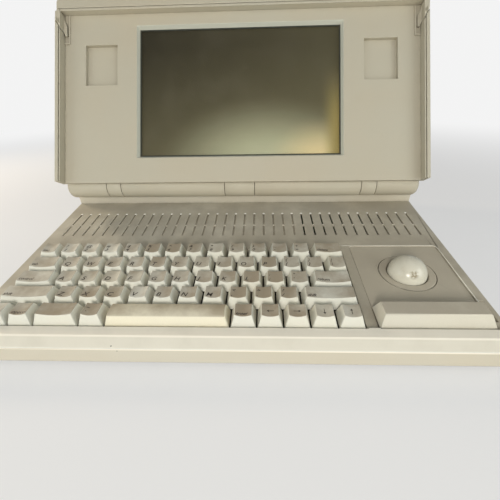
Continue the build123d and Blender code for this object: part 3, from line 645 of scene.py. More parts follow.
@dataclass(frozen=True)
class MetalFinish:
    """Sheet or cast metal with scratches and tarnish."""

    name: str
    body: Colour
    tarnish: Colour
    bright: Colour = (0.8, 0.8, 0.78)
    metallic: float = 1.0
    rough: float = 0.34
    brushed: float = 0.25

    def build(self) -> bpy.types.Material:
        """Makes the material.

        Returns:
            The material.
        """
        material, n, shader, spot = start_material(self.name)
        stretch = n.add("ShaderNodeMapping", None, Vector=spot, Scale=(40.0, 2600.0, 2600.0))
        lines = n.noise(stretch.outputs[0], 1.0, 3.0, 0.6)
        spots = n.ramp(n.noise(spot, 60.0, 5.0, 0.6), 0.5, 0.75)
        edge = place_group(n, RUBBED_EDGES, Vector=spot, Amount=0.5)
        colour = n.mix(n.times(spots, 0.5), self.body, self.tarnish)
        n.feed(shader, "Base Color", n.mix(edge.outputs["Mask"], colour, self.bright))
        shader.inputs["Metallic"].default_value = self.metallic
        n.feed(shader, "Roughness", n.ramp(lines, 0.3, 0.7, self.rough - 0.08, self.rough + 0.1))
        n.bump(shader, self.brushed, 0.00005, lines)
        return material


@dataclass(frozen=True)
class BoardFinish:
    """Laminate circuit board with copper runs under green resist."""

    name: str = "board_laminate_green"
    resist: Colour = (0.03, 0.13, 0.06)
    copper: Colour = (0.06, 0.2, 0.08)
    solder: Colour = (0.45, 0.42, 0.3)

    def build(self) -> bpy.types.Material:
        """Makes the material.

        Returns:
            The material.
        """
        material, n, shader, spot = start_material(self.name)
        runs = n.add("ShaderNodeTexBrick", {"offset": 0.5}, Vector=spot, Scale=240.0,
                     Mortar_Size=0.03).outputs[1]
        pads = n.ramp(n.add("ShaderNodeTexVoronoi", None, Vector=spot, Scale=330.0).outputs[0],
                      0.2, 0.15)
        colour = n.mix(runs, self.resist, self.copper)
        n.feed(shader, "Base Color", n.mix(pads, colour, self.solder))
        n.feed(shader, "Roughness", n.ramp(n.noise(spot, 50.0), 0.3, 0.7, 0.3, 0.45))
        n.bump(shader, 0.2, 0.0001, runs)
        return material


@dataclass(frozen=True)
class InkFinish:
    """Printed ink of the legends, worn thin in places."""

    name: str = "legend_ink"
    ink: Colour = (0.022, 0.016, 0.012)
    worn: Colour = (0.08, 0.06, 0.045)

    def build(self) -> bpy.types.Material:
        """Makes the material.

        Returns:
            The material.
        """
        material, n, shader, spot = start_material(self.name)
        thin = n.ramp(n.noise(spot, 420.0, 4.0, 0.65), 0.45, 0.7)
        n.feed(shader, "Base Color", n.mix(thin, self.ink, self.worn))
        n.feed(shader, "Roughness", n.ramp(thin, 0.0, 1.0, 0.45, 0.6))
        return material


@dataclass(frozen=True)
class FloorFinish:
    """Plain pale floor that keeps the shadow and looks pale to the camera."""

    name: str = "studio_floor"
    dull: Colour = (0.80, 0.80, 0.79)
    light: Colour = (0.84, 0.84, 0.83)
    seen: Colour = (0.9, 0.9, 0.9)

    def build(self) -> bpy.types.Material:
        """Makes the material.

        Returns:
            The material.
        """
        material, n, shader, spot = start_material(self.name)
        mottle = n.noise(spot, 3.0, 4.0)
        n.feed(shader, "Base Color", n.mix(mottle, self.dull, self.light))
        shader.inputs["Roughness"].default_value = 0.7
        n.bump(shader, 0.03, 0.001, n.noise(spot, 160.0, 3.0))
        camera = n.add("ShaderNodeLightPath").outputs["Is Camera Ray"]
        glow = n.add("ShaderNodeEmission", None, self.seen, 1.0)
        away = n.add("ShaderNodeVectorMath", {"operation": "LENGTH"}, spot).outputs["Value"]
        share = n.times(camera, n.ramp(away, 0.3, 1.5, 0.5, 1.0))
        mixed = n.add("ShaderNodeMixShader", None, share, shader.outputs[0], glow.outputs[0])
        output = next(node for node in n.tree.nodes if node.type == "OUTPUT_MATERIAL")
        n.feed(output, "Surface", mixed.outputs[0])
        return material


class Finishes:
    """All finishes of the computer, each built once."""

    def __init__(self) -> None:
        """Builds every material."""
        self.base = PlasticFinish("case_plastic_base", (0.62, 0.585, 0.495), (0.62, 0.53, 0.38),
                                  yellowing=0.4, film=0.2, corners=0.4, palm=0.9).build()
        # Same plastic as the base with a heavier film of grime, partly painted shade that darkens
        # the deck
        self.deck = PlasticFinish("case_plastic_deck_grime_and_shade", (0.62, 0.585, 0.495), (0.62, 0.53, 0.38),
                                  yellowing=0.4, film=0.36, corners=0.35, palm=0.9).build()
        self.lid = PlasticFinish("case_plastic_lid", (0.52, 0.488, 0.394), (0.55, 0.46, 0.325),
                                 yellowing=0.5, film=0.05, corners=0.35, specks=0.25).build()
        self.tray = PlasticFinish("case_plastic_tray", (0.57, 0.53, 0.44), (0.58, 0.49, 0.35),
                                  yellowing=0.4, film=0.14, corners=0.5).build()
        # Pale colour of the bay lip and the front seam bead, standing for painted highlights
        self.lip = PlasticFinish("case_plastic_lip_painted_highlight", (0.86, 0.84, 0.76), (0.84, 0.78, 0.64),
                                 yellowing=0.3, film=0.0, corners=0.1, specks=0.0, wear=0.2,
                                 rough=0.36).build()
        # Near-white colour of the vent scoops, standing for painted highlights at the slots' rear
        # ends
        self.pale = PlasticFinish("case_plastic_pale_highlight", (0.95, 0.93, 0.86), (0.93, 0.89, 0.78),
                                  yellowing=0.1, film=0.0, corners=0.0, specks=0.0, wear=0.0,
                                  rough=0.4).build()
        # Paler, cooler colour of the sloping sides round the screen: painted light
        self.surround = PlasticFinish("case_plastic_surround_painted_light", (0.60, 0.61, 0.53),
                                      (0.62, 0.59, 0.46), yellowing=0.3, film=0.0, corners=0.15,
                                      specks=0.1).build()
        self.bar = PlasticFinish("case_plastic_bar", (0.70, 0.68, 0.59), (0.68, 0.60, 0.46),
                                 dirt=(0.26, 0.20, 0.13), yellowing=0.4, film=0.45,
                                 corners=0.3).build()
        self.keys = PlasticFinish("key_plastic_caps", (0.74, 0.74, 0.67), (0.80, 0.72, 0.52),
                                  dirt=(0.31, 0.245, 0.165), yellowing=1.0, corners=0.08,
                                  film=0.88, specks=0.2, wear=0.2, grain_scale=2200.0,
                                  tint_layer="tint").build()
        self.space = PlasticFinish("key_plastic_space", (0.82, 0.78, 0.63), (0.86, 0.78, 0.58),
                                   dirt=(0.33, 0.265, 0.18), yellowing=0.7, corners=0.2, film=0.8,
                                   specks=0.1, wear=0.2, grain_scale=2200.0).build()
        self.rubber = PlasticFinish("foot_rubber_grey", (0.07, 0.068, 0.065), (0.1, 0.09, 0.07),
                                    worn=(0.16, 0.15, 0.14), dirt=(0.25, 0.22, 0.18), film=0.0,
                                    rough=0.75, grain_depth=0.3).build()
        self.gasket = PlasticFinish("screen_gasket_rubber", (0.018, 0.026, 0.020),
                                    (0.03, 0.032, 0.022), worn=(0.05, 0.055, 0.045),
                                    specks=0.0, film=0.0, rough=0.6).build()
        self.dark = PlasticFinish("dark_plastic_inside", (0.030, 0.029, 0.028),
                                  (0.04, 0.036, 0.03), worn=(0.08, 0.08, 0.08),
                                  dirt=(0.14, 0.12, 0.09), film=0.35, rough=0.5).build()
        self.steel = MetalFinish("plate_steel_plated", (0.50, 0.50, 0.49),
                                 (0.3, 0.27, 0.22)).build()
        # Near-black plate, painting the shade in the gaps between the keys
        self.black_steel = MetalFinish("plate_steel_black_painted_shade", (0.025, 0.024, 0.023),
                                       (0.05, 0.045, 0.04), metallic=0.3, rough=0.55).build()
        self.cast = MetalFinish("drive_metal_cast", (0.62, 0.62, 0.61), (0.4, 0.38, 0.34),
                                rough=0.42).build()
        self.brass = MetalFinish("plate_steel_gilt", (0.72, 0.55, 0.26), (0.4, 0.28, 0.12),
                                 rough=0.28).build()
        self.ball = BallFinish().build()
        self.film = FilmFinish().build()
        self.window = WindowFinish().build()
        self.board = BoardFinish().build()
        self.ink = InkFinish().build()
        self.floor = FloorFinish().build()


# Mesh helpers


# Turns between faces, in degrees
SHARP_ANGLE = 32.0
REAL_TURN = 28.0
FLAT_TURN = 0.5

# Widths and heights of faces, in millimetres
STRIP_WIDTH = 1.5
REAL_HEIGHT = 0.05
LEAST_CREASE = 0.005
SLIVER_HEIGHT = 0.02


def put(name: str, data: bpy.types.ID) -> bpy.types.Object:
    """Puts a new object into the scene.

    Args:
        name: Name of the object.
        data: Its mesh, curve, lamp or camera.

    Returns:
        The new object.
    """
    thing = bpy.data.objects.new(name, data)
    bpy.context.scene.collection.objects.link(thing)
    return thing


def put_mesh(name: str, mesh_data: bmesh.types.BMesh,
             material: bpy.types.Material) -> bpy.types.Object:
    """Puts a mesh into the scene.

    Args:
        name: Name of the object and of its mesh.
        mesh_data: The mesh in metres, which is freed here.
        material: Its finish.

    Returns:
        The new object.
    """
    mesh = bpy.data.meshes.new(name)
    mesh_data.to_mesh(mesh)
    mesh_data.free()
    mesh.materials.append(material)
    return put(name, mesh)


def new_piece(name: str, mesh_data: bmesh.types.BMesh, place: Place, body: str,
              material: bpy.types.Material) -> bpy.types.Object:
    """Turns a mesh in millimetres into a finished piece on its body.

    Args:
        name: Name of the piece.
        mesh_data: The mesh, which is freed here.
        place: Frame that it is drawn in.
        body: CAD body that it rides on.
        material: Its finish.

    Returns:
        The new object.
    """
    mesh_data.transform(placing(place))
    bmesh.ops.recalc_face_normals(mesh_data, faces=mesh_data.faces)
    piece = put_mesh(name, mesh_data, material)
    piece.data.shade_smooth()
    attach(piece, body)
    return piece


def round_edges(piece: bpy.types.Object, width: float, limit: str = "ANGLE") -> None:
    """Rounds the sharp edges of a piece with modifiers.

    Args:
        piece: The object.
        width: Radius in millimetres.
        limit: Whether the ANGLE or the WEIGHT of an edge says that it is rounded.
    """
    weld = piece.modifiers.new("weld", "WELD")
    weld.merge_threshold = WELD
    bevel = piece.modifiers.new("bevel", "BEVEL")
    bevel.width = width * MM
    bevel.segments = 2
    bevel.limit_method = limit
    bevel.angle_limit = radians(SHARP_ANGLE)
    bevel.use_clamp_overlap = False
    bevel.harden_normals = True
    bevel.miter_outer = "MITER_ARC"


def edge_height(edge: bmesh.types.BMEdge) -> float:
    """Height of the slimmer of the faces beside an edge, measured from that edge."""
    length = edge.calc_length()
    return min((2 * face.calc_area() / length for face in edge.link_faces), default=0.0)


def is_curved(face: bmesh.types.BMFace) -> bool:
    """Tells a narrow strip of a rounded surface from a flat face.

    Args:
        face: The face.

    Returns:
        Whether it is such a strip.
    """
    span = face.calc_area() / max(edge.calc_length() for edge in face.edges)
    turns = [edge.calc_face_angle(0.0) for edge in face.edges if len(edge.link_faces) == 2]
    return span < STRIP_WIDTH * MM and any(radians(FLAT_TURN) < turn < radians(REAL_TURN)
                                           for turn in turns)


def even_triangles(mesh_data: bmesh.types.BMesh) -> None:
    """Turns the edges inside flat faces so that no sliver is left.

    Args:
        mesh_data: The mesh, which is made of triangles.
    """
    inside = []
    for edge in mesh_data.edges:
        if len(edge.link_faces) != 2:
            continue
        longest = any(edge.calc_length() >= max(other.calc_length() for other in face.edges)
                      for face in edge.link_faces)
        sliver = longest and edge_height(edge) < SLIVER_HEIGHT * MM
        if edge.calc_face_angle(0.0) < radians(FLAT_TURN) or sliver:
            inside.append(edge)
    bmesh.ops.beautify_fill(mesh_data, faces=mesh_data.faces, edges=inside, method="AREA")


def stop_short(mesh_data: bmesh.types.BMesh, weight: bmesh.types.BMLayerItem, gap: float) -> None:
    """Ends the rounding of an edge just before a corner that no other rounded edge reaches.

    Args:
        mesh_data: The mesh.
        weight: Layer that says which edges are rounded.
        gap: Length that stays sharp at such a corner, in metres.
    """
    lone = []
    for vert in mesh_data.verts:
        rounded = [edge for edge in vert.link_edges if edge[weight] > 0.5]
        if len(rounded) == 1 and rounded[0].calc_length() > 4 * gap:
            lone.append((vert, rounded[0]))
    for vert, edge in lone:
        end = bmesh.utils.edge_split(edge, vert, gap / edge.calc_length())[0]
        end[weight] = 0.0
        end.smooth = False


def weigh_edges(mesh_data: bmesh.types.BMesh) -> bmesh.types.BMLayerItem:
    """Marks the real outer edges to be rounded and the inner ones sharp.

    Args:
        mesh_data: The mesh.

    Returns:
        Layer that says which edges are rounded.
    """
    weight = mesh_data.edges.layers.float.new("bevel_weight_edge")
    for edge in mesh_data.edges:
        turn = edge.calc_face_angle(0.0) if len(edge.link_faces) == 2 else 0.0
        if turn < radians(REAL_TURN):
            continue
        if edge.is_convex and edge_height(edge) > REAL_HEIGHT * MM:
            edge[weight] = 1.0
        elif edge_height(edge) > LEAST_CREASE * MM:
            edge.smooth = False
    return weight


def sound_copy(node: str, body: str, material: bpy.types.Material, width: float,
               whole: bool) -> bpy.types.Object:
    """Replaces a carried node by a copy whose real edges alone are rounded.

    Args:
        node: The node.
        body: CAD body that it belongs to.
        material: Its finish.
        width: Radius of its outer edges in millimetres.
        whole: Whether the triangles of each flat face are joined first.

    Returns:
        The piece that stands for the node.
    """
    mesh_data = bmesh.new()
    mesh_data.from_mesh(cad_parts[node].data)
    bmesh.ops.remove_doubles(mesh_data, verts=mesh_data.verts, dist=WELD)
    bmesh.ops.dissolve_degenerate(mesh_data, edges=mesh_data.edges, dist=WELD)
    if whole:
        bmesh.ops.dissolve_limit(mesh_data, angle_limit=radians(0.4), verts=mesh_data.verts,
                                 edges=mesh_data.edges)
    else:
        even_triangles(mesh_data)
    stop_short(mesh_data, weigh_edges(mesh_data), width * 1.6 * MM)
    for face in mesh_data.faces:
        face.smooth = is_curved(face)
    piece = put_mesh(f"{node}_soft", mesh_data, material)
    round_edges(piece, width, "WEIGHT")
    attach(piece, body)
    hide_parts(node)
    return piece


@dataclass(frozen=True)
class Ring:
    """Rounded rectangle whose points keep their order at any size."""

    per_corner: int = 5
    per_side: int = 5

    def anchors(self) -> list[tuple[float, float, float, float]]:
        """Lists the points of the outline, counter-clockwise.

        Returns:
            For each, its place on the inner rectangle, from -1 to 1, and its outward direction.
        """
        points: list[tuple[float, float, float, float]] = []
        corners = ((1, 1), (-1, 1), (-1, -1), (1, -1))
        for index, (u, v) in enumerate(corners):
            start = index * pi / 2
            for step in range(self.per_corner + 1):
                angle = start + step / self.per_corner * pi / 2
                points.append((u, v, cos(angle), sin(angle)))
            next_u, next_v = corners[(index + 1) % 4]
            angle = start + pi / 2
            for step in range(1, self.per_side + 1):
                share = step / (self.per_side + 1)
                points.append((u + (next_u - u) * share, v + (next_v - v) * share,
                               round(cos(angle), 9), round(sin(angle), 9)))
        return points

    def point(self, anchor: tuple[float, float, float, float], half: float, front: float,
              back: float, radius: float) -> tuple[float, float]:
        """One point of the rectangle.

        Args:
            anchor: Entry of anchors().
            half: Half width.
            front: Lowest y.
            back: Highest y.
            radius: Corner radius.

        Returns:
            The point's x and y.
        """
        u, v, out_x, out_y = anchor
        radius = min(radius, half, (back - front) / 2)
        x = u * (half - radius) + out_x * radius
        y = (front + radius) + (v + 1) / 2 * (back - front - 2 * radius) + out_y * radius
        return x, y


def bridge(mesh_data: bmesh.types.BMesh, first: Sequence[bmesh.types.BMVert],
           second: Sequence[bmesh.types.BMVert]) -> None:
    """Joins two closed rings of the same length with quads.

    Args:
        mesh_data: The mesh.
        first: One ring.
        second: The next ring.
    """
    count = len(first)
    for index in range(count):
        after = (index + 1) % count
        mesh_data.faces.new((first[index], first[after], second[after], second[index]))


def skin(mesh_data: bmesh.types.BMesh, rings: Sequence[Sequence[bmesh.types.BMVert]],
         closed: bool = False) -> None:
    """Joins rings one after another.

    Args:
        mesh_data: The mesh.
        rings: The rings, all of the same length.
        closed: Whether the last meets the first; both ends are closed with a face otherwise.
    """
    for first, second in zip(rings, [*rings[1:], rings[0]] if closed else rings[1:]):
        bridge(mesh_data, first, second)
    if not closed:
        mesh_data.faces.new(rings[0])
        mesh_data.faces.new(rings[-1])


def lathe(mesh_data: bmesh.types.BMesh, profile: Sequence[tuple[float, float]], centre: Point,
          axis: str = "Z", steps: int = 32) -> None:
    """Turns a profile into a closed round solid.

    Args:
        mesh_data: The mesh to add to.
        profile: Radius and height pairs; the ends are closed with a face.
        centre: Where the profile's origin goes.
        axis: Axis of the turning.
        steps: Points round.
    """
    rings = []
    for radius, height in profile:
        ring = []
        for step in range(steps):
            turn = 2 * pi * step / steps
            a, b = radius * cos(turn), radius * sin(turn)
            local = {"Z": (a, b, height), "Y": (a, height, b), "X": (height, a, b)}[axis]
            ring.append(mesh_data.verts.new(Vector(centre) + Vector(local)))
        rings.append(ring)
    skin(mesh_data, rings)


def soft_slab(mesh_data: bmesh.types.BMesh, size: Point, centre: Point, corner: float,
              edge: float) -> None:
    """Adds a slab with rounded corners and a rounded upper edge.

    Args:
        mesh_data: The mesh to add to.
        size: Width, depth and height.
        centre: Middle of its lower face.
        corner: Radius of the upright corners.
        edge: Radius of the upper edge.
    """
    ring = Ring(4, 0)
    half, deep, tall = size[0] / 2, size[1] / 2, size[2]
    levels = [(0.0, 0.0), (0.0, tall - edge)]
    levels += [(edge * (1 - cos(turn)), tall - edge + edge * sin(turn))
               for turn in (pi / 6, pi / 3, pi / 2)]
    rings = []
    for inset, height in levels:
        points = [ring.point(anchor, half - inset, -deep + inset, deep - inset,
                             max(corner - inset, 0.05)) for anchor in ring.anchors()]
        rings.append([mesh_data.verts.new(Vector(centre) + Vector((x, y, height)))
                      for x, y in points])
    skin(mesh_data, rings)


# Keyboard


@dataclass(frozen=True)
class Key:
    """One key: its body, row, left edge and width in key pitches, and its legends."""

    node: str
    row: int
    unit: float
    width: float
    legends: tuple[str, ...]


@dataclass
class Keyboard:
    """Sixty-three keycaps with dished tops, their stems and their printed legends."""

    finishes: Finishes
    pitch: float = 19.05
    left: float = -179.6
    gap: float = 0.9
    base: float = -0.5
    side_inset: float = 3.1
    back_inset: float = 2.6
    front_inset: float = 4.0
    dish: float = 1.15
    crown: float = 1.2
    edge: float = 0.28
    corner: float = 0.6
    shell: float = 1.3
    roof: float = 2.4
    row_back: tuple[float, ...] = (10.4, 9.2, 8.8, 8.9, 9.2)
    row_front: tuple[float, ...] = (9.5, 8.1, 7.9, 8.9, 9.4)
    letter_size: float = 5.7
    word_size: float = 4.0
    pair_share: float = 0.8
    pair_rise: float = 4.9
    slant: float = 0.28
    stroke: float = 0.05
    legend_left: float = 0.75
    legend_low: float = 1.1
    ink_lift: float = 0.05
    ring: Ring = field(default_factory=Ring)

    def layout(self) -> list[Key]:
        """Lays out the sixty-three keys.

        Returns:
            The keys from the rear left to the front right.
        """
        plain = (("number_keys", "1! 2@ 3# 4$ 5% 6^ 7& 8* 9( 0) -_ =+"),
                 ("upper_letter_keys", "Q W E R T Y U I O P [{ ]} \\|"),
                 ("home_letter_keys", "A S D F G H J K L ;: '\""),
                 ("lower_letter_keys", "Z X C V B N M ,< .> /?"))
        ends = ((("key_escape", 1.0, ("esc",)), ("key_delete", 1.5, ("delete",))),
                (("key_tab", 1.5, ("tab",)),),
                (("key_control", 1.75, ("control",)), ("key_return", 1.75, ("return",))),
                (("key_shift_left", 2.25, ("shift",)), ("key_shift_right", 2.25, ("shift",))))
        rows = [[left, *((node, 1.0, tuple(mark)) for mark in marks.split()), *right]
                for (left, *right), (node, marks) in zip(ends, plain)]
        rows.append([("key_caps_lock", 1.0, ("caps",)), ("key_option", 1.0, ("option",)),
                     ("key_command", 1.75, ("", "")), ("key_accent", 1.0, ("`", "~")),
                     ("key_space", 4.75, ()), ("key_enter", 1.0, ("enter",)),
                     ("key_arrow_left", 1.0, ("arrow", "180")),
                     ("key_arrow_right", 1.0, ("arrow", "0")),
                     ("key_arrow_down", 1.0, ("arrow", "270")),
                     ("key_arrow_up", 1.0, ("arrow", "90"))])
        keys = []
        for row, entries in enumerate(rows):
            unit = 0.0
            for node, width, legends in entries:
                keys.append(Key(node, row, unit, width, legends))
                unit += width
        return keys

    def centre(self, key: Key) -> tuple[float, float]:
        """Centre of a key on the deck."""
        return self.left + (key.unit + key.width / 2) * self.pitch, (4.5 - key.row) * self.pitch

    def top_of(self, key: Key) -> Callable[[float, float], float]:
        """Height of a key's touched face.

        Args:
            key: The key.

        Returns:
            A function of x and y from the key's centre.
        """
        back, front = self.row_back[key.row], self.row_front[key.row]
        deep = self.pitch - self.gap
        mid = (back + front) / 2
        run = deep - self.back_inset - self.front_inset
        tilt = (back - front) / run
        middle = (self.front_inset - self.back_inset) / 2
        face = key.width * self.pitch - self.gap - 2 * self.side_inset
        if key.node == "key_space":
            radius = run * run / (8 * self.crown)
            return lambda x, y: mid - radius + sqrt(max(radius**2 - (y - middle) ** 2, 0.0))
        radius = face * face / (8 * self.dish)
        return lambda x, y: (mid - self.dish + radius - sqrt(max(radius**2 - x * x, 0.0))
                             + tilt * (y - middle))

    def walls_of(self, key: Key) -> Callable[[float], tuple[float, float, float]]:
        """Sloping walls of a key.

        Args:
            key: The key.

        Returns:
            A function of the height that gives the walls' half width, front and back.
        """
        deep = self.pitch - self.gap
        half = (key.width * self.pitch - self.gap) / 2
        back_height = self.row_back[key.row]

        def at(height: float) -> tuple[float, float, float]:
            """Walls at one height.

            Args:
                height: The height on the deck.

            Returns:
                Their half width, front and back.
            """
            share = (height - self.base) / (back_height - self.base)
            return (half - self.side_inset * share, -deep / 2 + self.front_inset * share,
                    deep / 2 - self.back_inset * share)

        return at

    def add_cap(self, mesh_data: bmesh.types.BMesh, key: Key, tint: float) -> None:
        """Adds one hollow keycap with its stem.

        Args:
            mesh_data: The mesh to add to.
            key: The key.
            tint: How yellow it is, from 0 to 1.
        """
        layer = mesh_data.verts.layers.float["tint"]
        cx, cy = self.centre(key)
        top, walls = self.top_of(key), self.walls_of(key)
        anchors = self.ring.anchors()

        def wall_ring(drop: float, inset: float, corner: float) -> list[bmesh.types.BMVert]:
            """Ring that follows the dished top at a depth under it.

            Args:
                drop: How far it runs under the top.
                inset: How far it runs inside the walls.
                corner: Radius of its corners.

            Returns:
                The ring's vertices.
            """
            ring = []
            for anchor in anchors:
                height = self.row_back[key.row]
                for _ in range(4):
                    half, front, back = walls(height)
                    x, y = self.ring.point(anchor, half - inset, front + inset, back - inset,
                                           corner)
                    height = top(x, y) - drop
                ring.append((x, y, height))
            return [new_vert(point) for point in ring]

        def level_ring(height: float, inset: float, corner: float) -> list[bmesh.types.BMVert]:
            """Ring at one height.

            Args:
                height: The height on the deck.
                inset: How far it runs inside the walls.
                corner: Radius of its corners.

            Returns:
                The ring's vertices.
            """
            half, front, back = walls(height)
            return [new_vert((*self.ring.point(anchor, half - inset, front + inset, back - inset,
                                               corner), height)) for anchor in anchors]

        def new_vert(point: Point) -> bmesh.types.BMVert:
            """One vertex with the key's tint.

            Args:
                point: Its place from the key's centre.

            Returns:
                The vertex.
            """
            vert = mesh_data.verts.new((cx + point[0], cy + point[1], point[2]))
            vert[layer] = tint
            return vert

        roof = min(self.row_back[key.row], self.row_front[key.row]) - self.roof
        rings = [level_ring(roof, self.shell, 1.0), level_ring(self.base, self.shell, 0.6),
                 level_ring(self.base, 0.12, 0.7), level_ring(self.base + 0.18, 0.0, 0.8)]
        edge = self.edge
        for angle in (0.0, pi / 6, pi / 3, pi / 2):
            rings.append(wall_ring(edge * (1 - sin(angle)), edge * (1 - cos(angle)), self.corner))
        for first, second in zip(rings, rings[1:]):
            bridge(mesh_data, first, second)
        mesh_data.faces.new(rings[0])
        rim = rings[-1]
        mid_y = (self.front_inset - self.back_inset) / 2
        last = rim
        for share in (0.86, 0.62, 0.32):
            ring = []
            for vert in rim:
                x = (vert.co.x - cx) * share
                y = mid_y + (vert.co.y - cy - mid_y) * share
                ring.append(new_vert((x, y, top(x, y))))
            bridge(mesh_data, last, ring)
            last = ring
        hub = new_vert((0.0, mid_y, top(0.0, mid_y)))
        for index, vert in enumerate(last):
            mesh_data.faces.new((vert, last[(index + 1) % len(last)], hub))
        before = set(mesh_data.verts)
        lathe(mesh_data, ((2.2, roof + 0.2), (2.2, -7.0), (1.9, -7.6)), (cx, cy, 0.0), steps=12)
        for vert in set(mesh_data.verts) - before:
            vert[layer] = tint

    def text_mesh(self, words: str, size: float) -> bpy.types.Mesh:
        """Flat mesh of a few printed characters.

        Args:
            words: What is printed.
            size: Letter size in millimetres.

        Returns:
            The mesh, with its origin at the lower left.
        """
        curve = bpy.data.curves.new("legend", "FONT")
        curve.body = words
        curve.size = size
        curve.resolution_u = 3
        curve.space_character = 0.95
        curve.shear = self.slant
        curve.offset = self.stroke
        holder = put("legend", curve)
        bpy.context.view_layer.update()
        mesh = bpy.data.meshes.new_from_object(holder.evaluated_get(
            bpy.context.evaluated_depsgraph_get()))
        bpy.data.objects.remove(holder)
        bpy.data.curves.remove(curve)
        return mesh

    def add_legend(self, mesh_data: bmesh.types.BMesh, key: Key) -> None:
        """Adds what is printed on one key, laid on its dished face.

        Args:
            mesh_data: The mesh to add to.
            key: The key.
        """
        if not key.legends or not key.legends[0]:
            return
        cx, cy = self.centre(key)
        top = self.top_of(key)
        half, front, back = self.walls_of(key)(self.row_back[key.row])
        left, low = -half + self.legend_left, front + self.legend_low
        before = set(mesh_data.verts)
        if key.legends[0] == "arrow":
            turn = Matrix.Rotation(radians(float(key.legends[1])), 3, "Z")
            outline = ((2.6, 0), (0.9, 0.95), (0.9, 0.2), (-2.6, 0.2), (-2.6, -0.2), (0.9, -0.2),
                       (0.9, -0.95))
            middle = Vector((0.0, (front + back) / 2 - 0.6, 0.0))
            mesh_data.faces.new([mesh_data.verts.new(turn @ Vector((x, y, 0)) + middle)
                                 for x, y in outline])
        else:
            word = len(key.legends[0]) > 1
            size = self.word_size if word else self.letter_size
            if len(key.legends) > 1:
                size = self.letter_size * self.pair_share
            for index, words in enumerate(key.legends):
                mesh = self.text_mesh(words, size)
                height = low + index * self.pair_rise
                for vert in mesh.vertices:
                    vert.co = (vert.co.x + left, vert.co.y + height, 0.0)
                mesh_data.from_mesh(mesh)
                bpy.data.meshes.remove(mesh)
        for vert in set(mesh_data.verts) - before:
            x, y = vert.co.x, vert.co.y
            vert.co = (cx + x, cy + y, top(x, y) + self.ink_lift)

    def build(self) -> None:
        """Builds the caps and legends of every key body."""
        keys = self.layout()
        for node in sorted({key.node for key in keys}):
            members = [key for key in keys if key.node == node]
            caps = bmesh.new()
            caps.verts.layers.float.new("tint")
            for key in members:
                wander = 0.5 + 0.5 * sin(7.3 * key.unit + 2.9 * key.row)
                tint = 0.8 if node == "key_space" else 0.12 + 0.22 * wander
                self.add_cap(caps, key, tint)
            finish = self.finishes.space if node == "key_space" else self.finishes.keys
            piece = new_piece(f"{node}_caps", caps, Place.DECK, node, finish)
            shade = piece.modifiers.new("shade", "WEIGHTED_NORMAL")
            shade.weight = 80
            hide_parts(node)
            legends = bmesh.new()
            for key in members:
                self.add_legend(legends, key)
            if legends.verts:
                new_piece(f"{node}_legends", legends, Place.DECK, node, self.finishes.ink)
            else:
                legends.free()
            LOG.info("built %s with %d keycaps", node, len(members))


# Display


@dataclass
class Display:
    """Dark gasket and sloping surround round the screen of the lid."""

    finishes: Finishes
    width: float = 212.3
    height: float = 136.0
    middle_y: float = 82.2
    seat: float = 15.5
    strip: float = 1.3
    proud: float = 0.35
    face: float = 11.0
    bevel: float = 2.3

    def opening_ring(self, mesh_data: bmesh.types.BMesh, grow: float, corner: float,
                     level: float) -> list[bmesh.types.BMVert]:
        """Ring round the opening of the screen.

        Args:
            mesh_data: The mesh to add to.
            grow: How far outside the opening it runs.
            corner: Radius of its corners.
            level: Its height.

        Returns:
            The ring's vertices.
        """
        ring = Ring(3, 0)
        half = self.width / 2 + grow
        front = self.middle_y - self.height / 2 - grow
        back = self.middle_y + self.height / 2 + grow
        return [mesh_data.verts.new((*ring.point(anchor, half, front, back, corner), level))
                for anchor in ring.anchors()]

    def build_gasket(self) -> None:
        """Thin dark gasket inside the edge of the opening."""
        mesh_data = bmesh.new()
        low, high = self.seat + 0.04, self.seat - self.proud
        profile = ((0.0, low), (0.0, high + 0.1), (0.12, high), (self.strip - 0.12, high),
                   (self.strip, high + 0.1), (self.strip, low))
        skin(mesh_data, [self.opening_ring(mesh_data, -inset, 0.8, level)
                         for inset, level in profile], closed=True)
        new_piece("screen_gasket", mesh_data, Place.LID, "lid", self.finishes.gasket)

    def build_surround(self) -> None:
        """Pale skin of the sloping sides round the screen, painted paler and cooler than the lid
        where light falls on them.
        """
        mesh_data = bmesh.new()
        rings = []
        for share, lift in ((0.02, -0.05), (0.04, 0.09), (0.93, 0.09), (0.96, -0.05)):
            level = self.face + (self.seat - self.face) * share - lift / 2
            rings.append(self.opening_ring(mesh_data, self.bevel * (1 - share) - lift, 0.4, level))
        skin(mesh_data, rings, closed=True)
        piece = new_piece("screen_surround_painted_light", mesh_data, Place.LID, "lid", self.finishes.surround)
        piece.data.shade_flat()

    def build(self) -> None:
        """Builds the pieces that scene work adds to the lid."""
        self.build_gasket()
        self.build_surround()
        LOG.info("built the display's gasket and surround")


# Deck details


